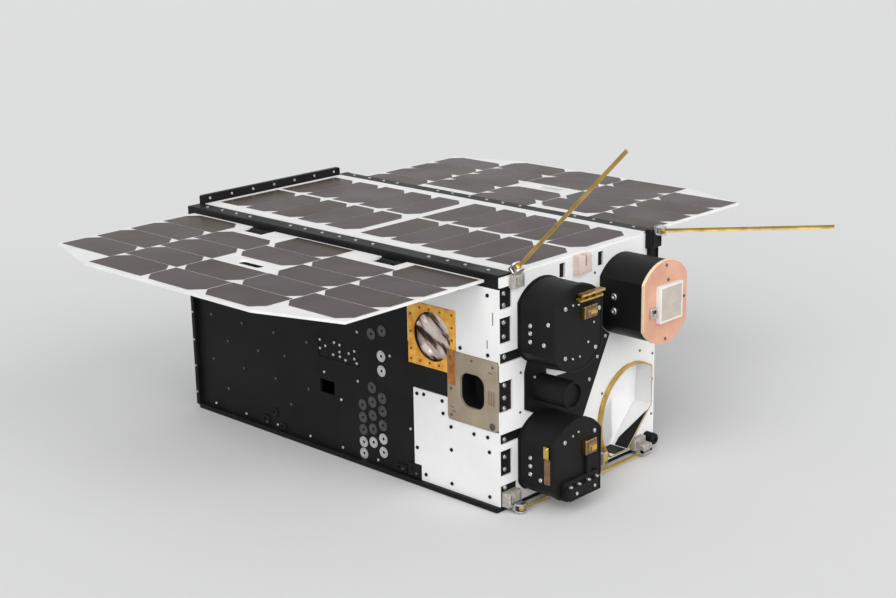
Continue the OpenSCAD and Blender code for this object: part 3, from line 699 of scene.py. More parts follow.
# %% [markdown]
# ## Guide blocks along the bottom
# Small black blocks on the lower edge of each wall guide the satellite in its launch box. Each is a block
# with two rounded corners and one drilled well. A boolean cuts the well, because a clean round hole is hard
# to inset from a square face. The left blocks are a mirrored copy of the right ones.

# %% Model the guide blocks
GUIDE_SEAT, WELL_R, WELL_DEPTH = 114.4, 1.8, 1.5
GUIDES = {  # low X and Z, high X and Z, well X and Z, distance of the outside from the middle
    "guide_rear": ((-116, 6), (-104, 16), (-111, 11.5), 116.6),
    "guide_rear_upper": ((-100, 18), (-91, 27), (-95.5, 22.5), 116.6),
    "guide_middle": ((-88, 6), (-78, 13), (-83, 9.5), 116.6),
    "guide_front": ((84, 6), (100, 14), (89, 10), 116.6),
    "guide_front_notch": ((102, 6), (119, 19.5), (108, 14), 117.2),
}
GUIDE_SCREWS = [(-106.5, -116.6, 9), (95, -116.6, 10), (114, -117.2, 10)]


def guide(name, low, high, well, out):
    """A block on the right wall, rounded at its upper corners, with a round well."""
    piece = block(name, (low[0], -out, low[1]), (high[0], -GUIDE_SEAT, high[1]))
    round_edges(piece, 2.2, ridge("y", "z", high[1]), steps=4)
    round_edges(piece, 0.4, beyond("y", -out, -1), steps=1)
    drill(piece, drum("well", (well[0], -out, well[1]), WELL_R, 2 * WELL_DEPTH, "Y", 24))
    return piece


guides = merge("guide_blocks_right", [guide(name, *row) for name, row in GUIDES.items()])
for piece in (guides, opposite(guides, "guide_blocks_left")):
    dress(piece, [black_anodised])
repeat("screws_guides", screw, GUIDE_SCREWS, "right", [dull_metal], size=0.6)

# %% [markdown]
# ## Left wall
# The left wall carries an access cover over the electronics and a small sun sensor. The cover is a thin
# block with round corners, a bevelled rim and a row of screws. The sensor is a block stepped in twice,
# with a dark glass in its middle. Insets keep a border even all round, which scaling a face would not.

# %% Model the cover
SEATED = 0.1
COVER_LOW, COVER_HIGH, COVER_Y = (88, 30), (204, 152), 116.4
cover = block("left_cover", (COVER_LOW[0], SKIN_Y - SEATED, COVER_LOW[1]),
              (COVER_HIGH[0], COVER_Y, COVER_HIGH[1]))
round_edges(cover, 14, along("y"), steps=6)
round_edges(cover, 0.6, rim("y", COVER_Y))
sink(cover, face("y", COVER_Y), 9, (0, -1, 0), 0.7)
dress(cover, [black_anodised])
COVER_SCREWS = [(x, z) for x in (106, 146, 186) for z in (34.5, 147.5)]
COVER_SCREWS += [(x, z) for x in (92.5, 199.5) for z in (50, 91, 132)]
repeat("screws_cover", screw, on_left(COVER_SCREWS, COVER_Y), "left", [dull_metal], size=0.8)

# %% Model the sun sensor
SENSOR_X, SENSOR_Z, SENSOR_HALF, SENSOR_Y, SENSOR_STEP = 40, 70, 12, 117, 0.8
sun_sensor = block("sun_sensor", (SENSOR_X - SENSOR_HALF, SKIN_Y - SEATED, SENSOR_Z - SENSOR_HALF),
                   (SENSOR_X + SENSOR_HALF, SENSOR_Y, SENSOR_Z + SENSOR_HALF))
sink(sun_sensor, looking("y"), 3.5, (0, 1, 0), SENSOR_STEP)
sink(sun_sensor, face("y", SENSOR_Y + SENSOR_STEP), 2.5, (0, -1, 0), 1)
round_edges(sun_sensor, 2, lambda middle, way: abs(way.y) > 0.9 and abs(middle.x - SENSOR_X) > 11, steps=3)
dress(sun_sensor, [gold_plate, wing_cell])
second_coat(sun_sensor, lambda middle, way: way.y > 0.99
            and abs(middle.x - SENSOR_X) < 1 and abs(middle.z - SENSOR_Z) < 1)

# %% [markdown]
# ## White sheets, tan plate and film
# The white sheets are radiators, held by small blackened screws. The tan plate frames a sensor window.
# The orange film is a blanket window with a row of tiny fasteners along its edges. The plate's opening is
# cut with a rounded block, because its corners are rounder than an inset of the plate could make them.

# %% Screws of the sheets, the plate and the film
SHEET_Y, PLATE_Y, FILM_Y = 116, 117.5, 116.5
UPPER_SHEET = [(207, 205), (207, 149), (172, 205), (140, 205), (112, 205), (112, 189), (173, 149)]
LOWER_SHEET = [(116, 92), (125, 93), (149, 92), (150, 80), (160, 69), (189, 69), (206, 70), (115, 37),
               (160, 46), (208, 56), (126, 12), (160, 12), (208, 12)]
PLATE = [(162, 139), (214, 139), (162, 82), (188, 140), (162, 108)]
FILM = [(110, 126), (110, 136), (110, 153), (110, 170), (122, 126), (134, 126), (146, 126),
        (122, 178), (134, 178), (148, 178), (163, 178), (163, 166), (163, 154)]
repeat("screws_sheets", screw, on_right(UPPER_SHEET + LOWER_SHEET, SHEET_Y), "right", [black_anodised],
       size=0.85)
repeat("screws_sensor_plate", screw, on_right(PLATE, PLATE_Y), "right", [dull_metal], size=0.6)
repeat("ring_sensor_plate", washer, on_right([(213, 82)], PLATE_Y), "right", [dull_metal], size=0.6)
repeat("screws_film", screw, on_right(FILM, FILM_Y), "right", [brown_laminate], size=0.55)

# %% Tan plate with its rounded window
PLATE_LOW, PLATE_HIGH = (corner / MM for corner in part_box("sensor_plate"))
WINDOW_X, WINDOW_Z, WINDOW_W, WINDOW_H = 188, 110.5, 30, 33
tan = block("tan_plate_body", PLATE_LOW, PLATE_HIGH)
round_edges(tan, 4, along("y"), steps=5)
window = block("window", (WINDOW_X - WINDOW_W / 2, PLATE_LOW.y - 2, WINDOW_Z - WINDOW_H / 2),
               (WINDOW_X + WINDOW_W / 2, PLATE_HIGH.y + 2, WINDOW_Z + WINDOW_H / 2))
round_edges(window, 10, along("y"), steps=6)
drill(tan, window)
round_edges(tan, 0.4, rim("y", PLATE_LOW.y, -1))
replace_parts(dress(tan, [tan_plate]), "sensor_plate")

# %% Slits in the sheet and marks on the tan plate
SLIT_HALF, MARK_HALF_X, MARK_HALF_Z, SLIT_PROUD, SLIT_SUNK = 0.5, 2.5, 0.6, 0.25, 0.3
SLITS = [(213, 184, 6, SHEET_Y), (206, 159, 4, SHEET_Y)] + [(x, 109, 7, PLATE_Y) for x in (209, 212, 215)]
MARKS = [(211, 133), (163, 90), (165, 86)]


def bar(name, low, high, width=0.25):
    """A small block with softened edges."""
    piece = block(name, low, high)
    round_edges(piece, width, everything, steps=1)
    return piece


def slit(x, z, half_x, half_z, y):
    """A thin bar let into the right wall at X and Z."""
    return bar("slit", (x - half_x, -y - SLIT_PROUD, z - half_z), (x + half_x, -y + SLIT_SUNK, z + half_z), 0.1)


slits = [slit(x, z, SLIT_HALF, half, y) for x, z, half, y in SLITS]
slits += [slit(x, z, MARK_HALF_X, MARK_HALF_Z, PLATE_Y) for x, z in MARKS]
dress(merge("slits_side", slits), [brown_laminate], slot="tan_plate")

# %% Film that laps over the tan plate
LAP_LOW, LAP_HIGH, LAP_CREASES = (157.5, -118.0, 112), (167.5, -117.45, 145), (118, 124, 130, 136, 141)
lap = block("film_lap", LAP_LOW, LAP_HIGH)
for z in LAP_CREASES:
    score(lap, (0, 0, z), (0, 0, 1))
pick(lap, "FACE", lambda middle, way: way.y < -0.9 and int(middle.z / 6) % 2 == 0)
bpy.ops.transform.translate(value=(0, 0.25 * MM, 0))
round_edges(lap, 0.15, along("z"), steps=1)
lap_film = finish("lap_film", (0.22, 0.075, 0.008), (0.40, 0.155, 0.018), (0.14, 0.3),
                  blotch=6, grain=5, relief=0.3)
dress(lap, [lap_film], slot="orange_film")

# %% [markdown]
# ## Crinkled foil
# Behind the film's round window lies a crumpled metallised sheet. A circle is filled with a grid and
# subdivided, two displace modifiers press long folds and small crumples into it, and a solidify gives it
# its thickness. Real folds are needed here: a bump alone would show a flat edge from the side.

# %% Model the foil
FOIL_X, FOIL_Y, FOIL_Z, FOIL_R, FOIL_T = 136.5, -112.4, 152, 23.7, 0.1
let_go()
bpy.ops.mesh.primitive_circle_add(vertices=64, radius=FOIL_R * MM, rotation=(math.pi / 2, 0, 0),
                                  location=(FOIL_X * MM, FOIL_Y * MM, FOIL_Z * MM))
foil = settle("crinkled_foil_disc")
bpy.ops.object.mode_set(mode="EDIT")
bpy.ops.mesh.select_all(action="SELECT")
bpy.ops.mesh.fill_grid(span=16)
bpy.ops.mesh.select_all(action="SELECT")
bpy.ops.mesh.subdivide(number_cuts=4)
folds = bpy.data.textures.new("long_folds", "WOOD")
folds.wood_type = "BANDNOISE"
folds.noise_scale = 0.012
folds.turbulence = 6
crumple = bpy.data.textures.new("small_crumples", "VORONOI")
crumple.noise_scale = 0.011
crumple.distance_metric = "MANHATTAN"
for texture, height in ((folds, 1.8), (crumple, 0.9)):
    treat(foil, "DISPLACE", texture=texture, texture_coords="LOCAL", direction="Y",
          mid_level=0.6, strength=-height * MM)
treat(foil, "SOLIDIFY", thickness=FOIL_T * MM)
print("foil:", len(foil.data.polygons), "faces")

# %% Finish of the foil
FOIL_STOPS = [(0.38, (0.030, 0.017, 0.011)), (0.44, (0.16, 0.10, 0.075)),
              (0.50, (0.58, 0.47, 0.43)), (0.62, (0.72, 0.64, 0.60))]
coat, tree, shader, source = blank("crinkled_film", Metallic=0.55)
streak = noise(tree, source, 7, 2.0, stretch=(5, 1, 1), turn=(0, math.radians(35), 0))
tree.links.new(ramp(tree, streak, FOIL_STOPS), shader.inputs["Base Color"])
tree.links.new(spread(tree, streak, 0.3, 0.7, 0.45, 0.25), shader.inputs["Roughness"])
bump(tree, shader, streak, 0.8, 0.6)
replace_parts(dress(foil, [coat], "bus", "crinkled_foil", smooth=40), "blanket_foil")

# %% [markdown]
# ## Lids of the housings
# The two black housings end in lids with a thin raised rim. A drum is sliced flat on two sides, its front
# edge is bevelled, and the face inside the rim is pushed back. The lower lid is sliced at its foot as well.
# Slicing a drum keeps the round ends true, which a bevelled box would only come near.

# %% Model a rounded plate
def rounded_plate(name, middle, x0, x1, radius, flat, floor=None):
    """A drum along X with two flat sides, and a flat foot where a floor is given."""
    y, z = middle
    plate = drum(name, ((x0 + x1) / 2, y, z), radius, x1 - x0, "X", sides=120)
    for side in (-1, 1):
        slice_off(plate, (x0, y + side * flat, z), (0, side, 0))
    if floor is not None:
        slice_off(plate, (x0, y, floor), (0, 0, -1))
    return plate


LID_X, LID_T, HOUSING_R, HOUSING_FLAT, LID_SUNK = 261, 5, 41, 34, 0.5
LID_FRONT = LID_X + LID_T
UPPER, LOWER, PATCH = (-59, 173), (-59, 46), (59, 173)
for name, middle, foot in (("lid_upper", UPPER, None), ("lid_lower", LOWER, 14.5)):
    lid = rounded_plate(name + "_cover", middle, LID_X, LID_FRONT, HOUSING_R, HOUSING_FLAT, foot)
    round_edges(lid, 0.8, rim("x", LID_FRONT))
    sink(lid, face("x", LID_FRONT), 1.6, (-1, 0, 0), LID_SUNK)
    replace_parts(dress(lid, [black_anodised]), name)

# %% Screws of the lids
LID_FACE, BARREL_Y = LID_FRONT - LID_SUNK, 92
LID_SCREWS = [(-79, 195), (-79, 149), (-36, 150), (-31, 186), (-79, 69), (-36, 69), (-79, 22)]
LID_PINS = [(-68, 196), (-60, 195), (-46, 157), (-68, 146), (-58, 146), (-38, 174), (-67, 72), (-59, 74)]
BARREL = [(237, 177), (237, 170), (237, 162), (253, 162), (258, 182),
          (237, 51), (237, 43), (237, 35), (249, 32)]
PATCH_BARREL = [(240, 26, 179), (240, 26, 165)]


def at_x(x, spots):
    """Places in a plane across X, from Y and Z."""
    return [(x, y, z) for y, z in spots]


repeat("screws_lids", screw, at_x(LID_FACE, LID_SCREWS), "front")
repeat("pins_lids", stud, at_x(LID_FACE, LID_PINS), "front", size=0.8)
repeat("screws_barrels", screw, on_right(BARREL, BARREL_Y), "right")
repeat("screws_patch_barrel", screw, PATCH_BARREL, "right", size=1.6)

# %% Screws of the payload face
PLATE_X, EDGE_FRONT, FACE_X = 224, 220, 222
PLATE_EDGE = [(32, 136), (20, 118), (8, 98), (-8, 84), (-25, 93), (-72, 121)]
FRONT_EDGE = [(-110, z) for z in (208, 197, 181, 168, 149, 122, 110, 100, 70, 53, 41, 23)]
FRONT_PANEL = [(18, 201), (-89, 129), (-90, 91), (91, 106), (112, 98), (112, 71), (31, 77), (112, 34),
               (-18, 16), (0, 60)]
repeat("screws_plate", screw, at_x(PLATE_X, PLATE_EDGE), "front", size=0.9)
repeat("screws_front_edge", screw, at_x(EDGE_FRONT, FRONT_EDGE), "front", size=1.1)
repeat("screws_front_panel", screw, at_x(FACE_X, FRONT_PANEL), "front", [dull_metal], size=0.6)

# %% [markdown]
# ## Telescope ring
# The telescope looks out through a short ring that stands in front of the white panel. Its outside is
# golden and its inside is white. A drum is sliced to the opening's flats, both ends are inset and opened,
# and the two inner loops are bridged, which leaves a tube with a wall of even thickness. A solidified shell
# would do as well, but bridging shows where each face comes from.

# %% Model the ring
RING_MIDDLE, RING_R, RING_WALL, RING_SEAT = (77, 45), 52, 1.5, 5
RING_LOW, RING_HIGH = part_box("aperture_baffle")
RING_X0, RING_X1 = RING_LOW.x / MM - RING_SEAT, RING_HIGH.x / MM
RING_FLATS = [((0, 106, 45), (0, 1, 0)), ((0, 77, 9), (0, 0, -1)), ((0, 68, 9), (0, 0.7071, -0.7071))]
ring = drum("telescope_ring", ((RING_X0 + RING_X1) / 2, *RING_MIDDLE),
            RING_R, RING_X1 - RING_X0, "X", 160)
for point, way in RING_FLATS:
    slice_off(ring, point, way)
pick(ring, "FACE", along("x"))
bpy.ops.mesh.inset(thickness=RING_WALL * MM, depth=0)
bpy.ops.mesh.delete(type="FACE")
bpy.ops.mesh.select_mode(type="EDGE")
bpy.ops.mesh.select_non_manifold()
bpy.ops.mesh.bridge_edge_loops()
let_go()
dress(ring, [baffle_gold, white_paint])
ring_middle = Vector(RING_MIDDLE)
second_coat(ring, lambda middle, way: abs(way.x) < 0.5 and way.yz.dot(middle.yz - ring_middle) < 0)
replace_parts(ring, "aperture_baffle")
print("ring from X", RING_X0, "to", RING_X1)

# %% Painted shadow on the slanting wall
# Painted shadow: a thin dark plate on the ring's slanting inner wall and a dark strip on its floor stand in for
# the shade and dark reflection on the white inner walls. They are not parts of the satellite.
SHADE_LOW, SHADE_HIGH, SHADE_BACK, SHADE_FRONT = (66.6, 9.6), (101, 44), RING_X0 + 6, RING_X1 - 0.4
shade = block("telescope_shade", (SHADE_BACK, 0, 0), (SHADE_FRONT, math.dist(SHADE_LOW, SHADE_HIGH), 0.5))
slice_off(shade, (SHADE_BACK, 10, 0), (-0.92, 0.39, 0))
round_edges(shade, 0.15, everything, steps=1)
let_go()
shade.matrix_world = at((0, *SHADE_LOW), Matrix.Rotation(math.radians(45), 4, "X"))
ring_floor_shadow = bar("telescope_sill", (RING_X0 + 1, 46, 10.4), (SHADE_FRONT, 65, 10.9), 0.15)
dress(merge("telescope_shade", [shade, ring_floor_shadow]), [black_anodised])

# %% [markdown]
# ## Stepped foot and gold feeds
# On the lower end of the lower lid sits a black stepped foot with its bolts. The gold feeds on the lids are
# stepped boxes and small stacked plates with dark tops. Blocks are bevelled, inset and extruded in steps, as
# they would be milled. Separate slabs would be quicker, but would leave faces inside each other.

# %% Model the foot
FOOT_X, FOOT_LOW, FOOT_TOP, FOOT_DEPTH, STEP_DEPTH, STEP_H = LID_FRONT, 14.5, 26.5, 9, 4, 5
FOOT_RIGHT, FOOT_LEFT = -84, -34
foot = block("foot_base", (FOOT_X, FOOT_RIGHT, FOOT_LOW), (FOOT_X + FOOT_DEPTH, FOOT_LEFT, FOOT_TOP))
round_edges(foot, 3.5, ridge("z", "x", FOOT_X + FOOT_DEPTH), steps=1)
sink(foot, looking("x"), 1.2, (-1, 0, 0), 0.4)
step = block("foot_step", (FOOT_X, FOOT_RIGHT, FOOT_TOP), (FOOT_X + STEP_DEPTH, FOOT_LEFT, FOOT_TOP + STEP_H))
round_edges(step, 0.8, ridge("y", "z", FOOT_TOP + STEP_H))
foot = dress(merge("lid_foot_block", [foot, step]), [black_anodised])
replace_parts(foot, "lid_foot")
FOOT_SCREWS = [(FOOT_X + 6.4, y, FOOT_TOP) for y in (-78, -66, -52, -40)]
repeat("screws_foot", screw, FOOT_SCREWS, "top", size=1.1)
repeat("screws_foot_front", screw, at_x(FOOT_X + 8.6, [(-72, 20), (-46, 20)]), "front", size=0.8)

# %% Model the gold feeds
def feed(name, low, high, steps):
    """A block whose front is stepped out towards its middle."""
    piece = block(name, low, high)
    front = high[0]
    for border, depth in steps:
        sink(piece, face("x", front), border, (1, 0, 0), depth)
        front += depth
    round_edges(piece, 0.25, lambda middle, way: middle.x > low[0] + 0.3, steps=1)
    return piece


def feed_plate(name, low, high):
    """A thin gold plate whose top is sunk inside a narrow edge."""
    piece = block(name, low, high)
    round_edges(piece, 1.5, ridge("z", "x", high[0]))
    sink(piece, looking("z"), 0.7, (0, 0, -1), 0.4)
    return piece


PLATE_TOPS, FEED_STEPS, FEED_X = (201.4, 205.8), [(2, 2), (2.4, 1.8)], FOOT_X + 4
plates = [feed_plate("feed_plate", (FOOT_X, -66 + n * 3, z - 1.6), (FOOT_X + 8, -34 + n * 3, z))
          for n, z in enumerate(PLATE_TOPS)]
spacers = [bar("feed_spacer", (FOOT_X, y - 2, 198.6), (FOOT_X + 5, y + 2, 205)) for y in (-60, -50, -40)]
boxes = [feed("feed_box_high", (FOOT_X, -56, 181), (FEED_X, -38, 192.5), FEED_STEPS),
         feed("feed_box_low", (FOOT_X, -53, 50), (FEED_X, -37, 63.5), FEED_STEPS)]
fed = dress(merge("gold_feeds", plates + spacers + boxes), [gold_plate, brown_laminate])
second_coat(fed, lambda middle, way: way.z > 0.9 and any(abs(middle.z - z + 0.4) < 0.2 for z in PLATE_TOPS))
second_coat(fed, lambda middle, way: middle.z < 195 and FEED_X - 0.1 < middle.x < FEED_X + 2.1)
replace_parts(fed, "feed_blocks")

# %% Lead, box and plate of the lower housing
SIDE_X, SIDE_Y = 254, -91.9
lead = bar("lead", (LID_FACE, -50, 27), (LID_FRONT + 3.5, -43.5, 50), 0.8)
dress(lead, [black_anodised])
side_box = feed("side_box", (0, 0, 0), (3, 6, 12), [(1, 0.6), (1, 0.6)])
side_box.matrix_world = at((SIDE_X, SIDE_Y, 55), Matrix.Rotation(-math.pi / 2, 4, "Z"))
dress(merge("side_box_lower", [side_box]), [gold_plate])
side_plate = bar("side_plate_lower", (SIDE_X, -94, 30), (260.6, SIDE_Y, 54.5), 0.5)
dress(side_plate, [brown_laminate], slot="copper_board")

# %% Clear connector on the front panel
CLEAR_FRONT = FACE_X + 9
clear_box = block("clear_box", (FACE_X, 14, 5.5), (CLEAR_FRONT, 25.2, 21))
round_edges(clear_box, 3, along("x"), steps=3)
sink(clear_box, face("x", CLEAR_FRONT), 2, (-1, 0, 0), 3)
gold_end = bar("gold_end", (FACE_X, 25, 7.5), (CLEAR_FRONT + 0.5, 30.4, 19), 0.6)
parts = [painted(clear_box, smoked_resin), painted(gold_end, gold_plate)]
dress(merge("clear_connector", parts), slot="holder_resin")

# %% [markdown]
# ## Patch antenna
# A salmon-coloured circuit board with a pale cut edge carries a ceramic tile with a white rim. The board
# is the same rounded plate as the lids. The tile is a block whose face is inset and pushed back, so that
# its rim is real and catches the light, which a painted line would not.

# %% Model the board
BOARD_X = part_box("patch_board")[0][0] / MM
TILE_X, TILE_FRONT = (corner[0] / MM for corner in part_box("patch_tile"))
board = rounded_plate("patch_board_plate", PATCH, BOARD_X, TILE_X, HOUSING_R, HOUSING_FLAT)
round_edges(board, 0.3, rim("x", TILE_X), steps=1)
dress(board, [copper_board, board_edge])
second_coat(board, lambda middle, way: abs(way.x) < 0.9)
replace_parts(board, "patch_board")

# %% Model the tile
tile = block("patch_tile_body", (TILE_X, 44, 155), (TILE_FRONT, 80, 191))
round_edges(tile, 0.6, lambda middle, way: middle.x > TILE_X + 0.2)
sink(tile, face("x", TILE_FRONT), 1.6, (-1, 0, 0), 0.3)
dress(tile, [white_ceramic, pale_ceramic], slot="pale_ceramic")
second_coat(tile, lambda middle, way: way.x > 0.99 and middle.x < TILE_FRONT - 0.1)
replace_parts(tile, "patch_tile")

# %% Model the plug
PLUG_MIDDLE, PLUG_FRONT = 167, TILE_X + 2.6
plug = block("patch_plug_body", (TILE_X, 33, PLUG_MIDDLE - 5), (PLUG_FRONT, 41, PLUG_MIDDLE + 5))
round_edges(plug, 0.5, lambda middle, way: middle.x > TILE_X + 0.2)
sink(plug, face("x", PLUG_FRONT), 1.8, (1, 0, 0), 1.6)
score(plug, (0, 0, PLUG_MIDDLE), (0, 0, 1))
pick(plug, "FACE", lambda middle, way: way.x > 0.9 and middle.x > TILE_X + 3 and middle.z > PLUG_MIDDLE)
push((-1, 0, 0), 1.2)
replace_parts(dress(plug, [bare_metal]), "patch_plug")

# %% Screws of the board and pin of the tile
BOARD_SCREWS, TILE_PIN = [(59, 209), (62, 194.5), (59, 137), (88, 173)], (66, 171)
repeat("screws_patch_board", screw, at_x(TILE_X, BOARD_SCREWS), "front", [dull_metal], size=0.7)
repeat("tile_pin", stud, at_x(TILE_FRONT - 0.4, [TILE_PIN]), "front", size=0.5)

# %% [markdown]
# ## Tape antennas
# A tape antenna is a spring strip with a curved section, like a measuring tape, and it swings out on a
# small drum. An open drum is sliced lengthwise so that only an arc is left, and a solidify gives the strip
# its thickness. It is made along X at the origin and then moved to its hinge.

# %% Model a tape
TAPE_W, TAPE_R, TAPE_SAG, TAPE_T, KNUCKLE_R = 4.2, 3.2, 0.66, 0.16, 2.8


def tape(name, length, hinge, turn, body):
    """A strip of that length on a knuckle, taken to its hinge point and turned there."""
    middle = (length / 2 + 0.7, TAPE_SAG / 2 - TAPE_R, 0)
    strip = drum(name + "_strip", middle, TAPE_R, length - 2.2, "X", 48, "NOTHING")
    pick(strip, "FACE", everything)
    bpy.ops.mesh.bisect(plane_co=(0, -TAPE_SAG / 2 * MM, 0), plane_no=(0, 1, 0), clear_inner=True)
    treat(strip, "SOLIDIFY", thickness=TAPE_T * MM)
    knuckle = drum(name + "_knuckle", (0, 0, 0), KNUCKLE_R, TAPE_W, "Z", 32)
    round_edges(knuckle, 0.4, across("z"))
    for sign in (-1, 1):
        sink(knuckle, lambda middle, way: way.z * sign > 0.9 and abs(middle.z) > 2, 0.8, (0, 0, -sign), 0.4)
    piece = merge(name + "_strip", [strip, knuckle])
    piece.matrix_world = at(hinge, turn)
    take(piece)
    bpy.ops.object.transform_apply(location=True, rotation=True, scale=True)
    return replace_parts(dress(piece, [gold_tape], body), name)


JOINTS = frame["record"]["behaviour"]["joints"]
HINGES = {joint["name"]: Vector(joint["pos_m"]) / MM for joint in JOINTS}
TOP_LEFT, TOP_RIGHT = HINGES["antenna_top_left_fold"], HINGES["antenna_top_right_fold"]
LOW_RIGHT = HINGES["antenna_low_right_fold"]
LEFT_TURN, RIGHT_TURN, LOW_TURN = (
    Matrix.Rotation(math.radians(angle), 4, axis) for angle, axis in ((45, "Z"), (-45, "Y"), (90, "Z")))
tape("tape_top_left", 168, TOP_LEFT, LEFT_TURN, "antenna_top_left")
tape("tape_top_right", 168, TOP_RIGHT, RIGHT_TURN, "antenna_top_right")
tape("tape_low_right", 177, LOW_RIGHT, LOW_TURN, "antenna_low_right")

# %% [markdown]
# ## Holders of the tapes
# Each tape turns in a small steel fork on a block, which is black metal at the top left and smoky cast resin
# elsewhere. The fork's two cheeks are blocks with rounded noses and a pin goes through both. The block is
# bevelled in front and has two pockets there. Fork and block are finished first and then joined, so that
# each keeps its own finish.

# %% Model a fork
CHEEK_IN, CHEEK_OUT, FORK_BACK, FORK_REACH, FORK_HALF, PIN_R = 2.5, 4.4, -7, 3, 5, 1.2
CHEEK_T = CHEEK_OUT - CHEEK_IN


def fork(hinge, turn=Matrix.Identity(4)):
    """Two cheeks, a web behind them and a pin, about a hinge point."""
    parts = [bar("web", (FORK_BACK, -FORK_HALF, -CHEEK_OUT), (FORK_BACK + 3, FORK_HALF, CHEEK_OUT), 0.4)]
    for low in (-CHEEK_OUT, CHEEK_IN):
        cheek = block("cheek", (FORK_BACK + 1, -FORK_HALF, low), (FORK_REACH, FORK_HALF, low + CHEEK_T))
        round_edges(cheek, 3.5, ridge("z", "x", FORK_REACH), steps=5)
        round_edges(cheek, 0.25, across("z"), steps=1)
        parts.append(cheek)
    pin = drum("pin", (0, 0, 0), PIN_R, 2 * CHEEK_OUT, "Z", 20)
    round_edges(pin, 0.3, across("z"), steps=1)
    joined = merge("fork", parts + [pin])
    joined.matrix_world = at(hinge, turn)
    return painted(joined, bare_metal)


print("fork: cheeks", round(CHEEK_T, 1), "mm thick")

# %% Model the blocks and join them to their forks
HOLDER_X, POCKET_W = 229, 4.5


def holder(name, low, high, forks, coat=smoked_resin):
    """A bevelled block with two pockets, joined to its fork, in place of a solid."""
    first, last = low[1] + POCKET_W, high[1] - POCKET_W
    base = block(name, low, high)
    round_edges(base, 1.2, beyond("x", high[0]), steps=3)
    for y in (first, last):
        score(base, (0, y, 0), (0, 1, 0))
    for level, sign in ((first, -1), (last, 1)):
        sink(base, both(face("x", high[0]), beyond("y", level, sign)), 0.9, (-1, 0, 0), 2.5)
    piece = merge(name + "_block", [painted(base, coat)] + forks)
    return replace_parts(dress(piece, slot="holder_resin"), name)


holder("tape_holder_top_left", (222, 97, 209.2), (HOLDER_X, 115, 228.2), [fork(TOP_LEFT)], black_anodised)
holder("tape_holder_top_right", (222, -104, 212), (HOLDER_X, -90, 224.2), [fork(TOP_RIGHT, RIGHT_TURN)])
holder("tape_holder_low_right", (220, -113, 4.8), (HOLDER_X, -95, 18.8), [fork(LOW_RIGHT)])

# %% Rest for the tip of the lower tape
NOSE_FRONT, GROOVE_LOW, GROOVE_HIGH = 238, 4, 7
nose = block("nose", (HOLDER_X - 0.5, 79, 1), (NOSE_FRONT, 93, 12))
round_edges(nose, 2, ridge("y", "x", NOSE_FRONT), steps=4)
for z in (GROOVE_LOW, GROOVE_HIGH):
    score(nose, (0, 0, z), (0, 0, 1))
pick(nose, "FACE", lambda middle, way: way.x > 0.9 and GROOVE_LOW < middle.z < GROOVE_HIGH)
push((-1, 0, 0), 4)
roller = drum("roller", (235, 86, 5.5), 1.5, 14, "Y", 24)
round_edges(roller, 0.3, across("y"), steps=1)
rest_parts = [painted(nose, smoked_resin), painted(roller, bare_metal)]
holder("tape_rest_low_left", (222, 77, 4.8), (HOLDER_X, 95, 16.8), rest_parts)

# %% Clamp and bracket
CLAMP_LOW, CLAMP_HIGH = (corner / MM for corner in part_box("tape_clamp"))
CLAMP_SLIT, CLAMP_STEP, BRACKET_LOW, BRACKET_FRONT = -4.5, 213, 196, FACE_X + 5
clamp = block("tape_clamp_body", (FACE_X, -14, CLAMP_LOW.z), (CLAMP_HIGH.x, CLAMP_HIGH.y, CLAMP_STEP))
for y in (CLAMP_SLIT - 1, CLAMP_SLIT + 1):
    score(clamp, (0, y, 0), (0, 1, 0))
pick(clamp, "FACE", lambda middle, way: way.z > 0.9 and abs(middle.y - CLAMP_SLIT) > 1.5)
push((0, 0, 1), CLAMP_HIGH.z - CLAMP_STEP)
round_edges(clamp, 0.8, lambda middle, way: middle.x > CLAMP_HIGH.x - 0.1 and abs(middle.y - CLAMP_SLIT) > 4)
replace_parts(dress(clamp, [holder_resin]), "tape_clamp")
bracket = block("left_bracket", (FACE_X, 100, BRACKET_LOW), (BRACKET_FRONT, 112, 209))
round_edges(bracket, 1.5, ridge("x", "z", BRACKET_LOW, -1), steps=3)
sink(bracket, face("x", BRACKET_FRONT), 1.2, (-1, 0, 0), 1.5)
dress(bracket, [black_anodised])

# %% Release knob
KNOB_LOW, KNOB_HIGH = (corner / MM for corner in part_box("release_knob"))
KNOB_R, KNOB_FRONT = (KNOB_HIGH.z - KNOB_LOW.z) / 2, KNOB_HIGH.x
knob = drum("release_knob_body", (KNOB_LOW + KNOB_HIGH) / 2, KNOB_R, KNOB_FRONT - FACE_X, "X", 40)
round_edges(knob, 2.4, rim("x", KNOB_FRONT), steps=5)
sink(knob, face("x", KNOB_FRONT), 1.2, (-1, 0, 0), 1.5)
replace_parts(dress(knob, [black_anodised]), "release_knob")

# %% [markdown]
# ## Rails, rear and underside
# Rows of screws hold the top rails, the raised rear lip, the rear plate and the bottom panel. They all
# use the same screw, copied to the face that carries it. Where nothing may stand proud, the heads sit in
# round seats. A boolean sinks all seats of a plate in one go.

# %% Rows of screws
RAIL_X, RAIL_Y, RAIL_TOP = (-200, -175, -152, -130, -67, -45, -20, 5, 28, 52, 126, 150, 172, 200), 107, 225
LIP_Y, REAR_IN, REAR_X, REAR_SEAT, BASE_SEAT = (-90, -60, -30, 0, 30, 60, 90), -217, -222, 1.6, 1.1
REAR = [(y, z) for y in (-108, -54, 54, 108) for z in (14, 60, 110, 160, 204)] + [(y, 228) for y in LIP_Y]
BASE = [(x, y) for x in (-200, -120, -40, 40, 120, 198) for y in (-80, 0, 80)]
for side, word in SIDES:
    spots = [(x, side * RAIL_Y, RAIL_TOP) for x in RAIL_X]
    repeat("screws_rail_" + word, screw, spots, "top", size=0.8)
lip_spots = at_x(REAR_IN, [(y, 230.2) for y in LIP_Y])
repeat("screws_rear_lip", screw, lip_spots, "front", size=0.75)
repeat("screws_rear", screw, at_x(REAR_X + REAR_SEAT, REAR), "rear", size=0.9)
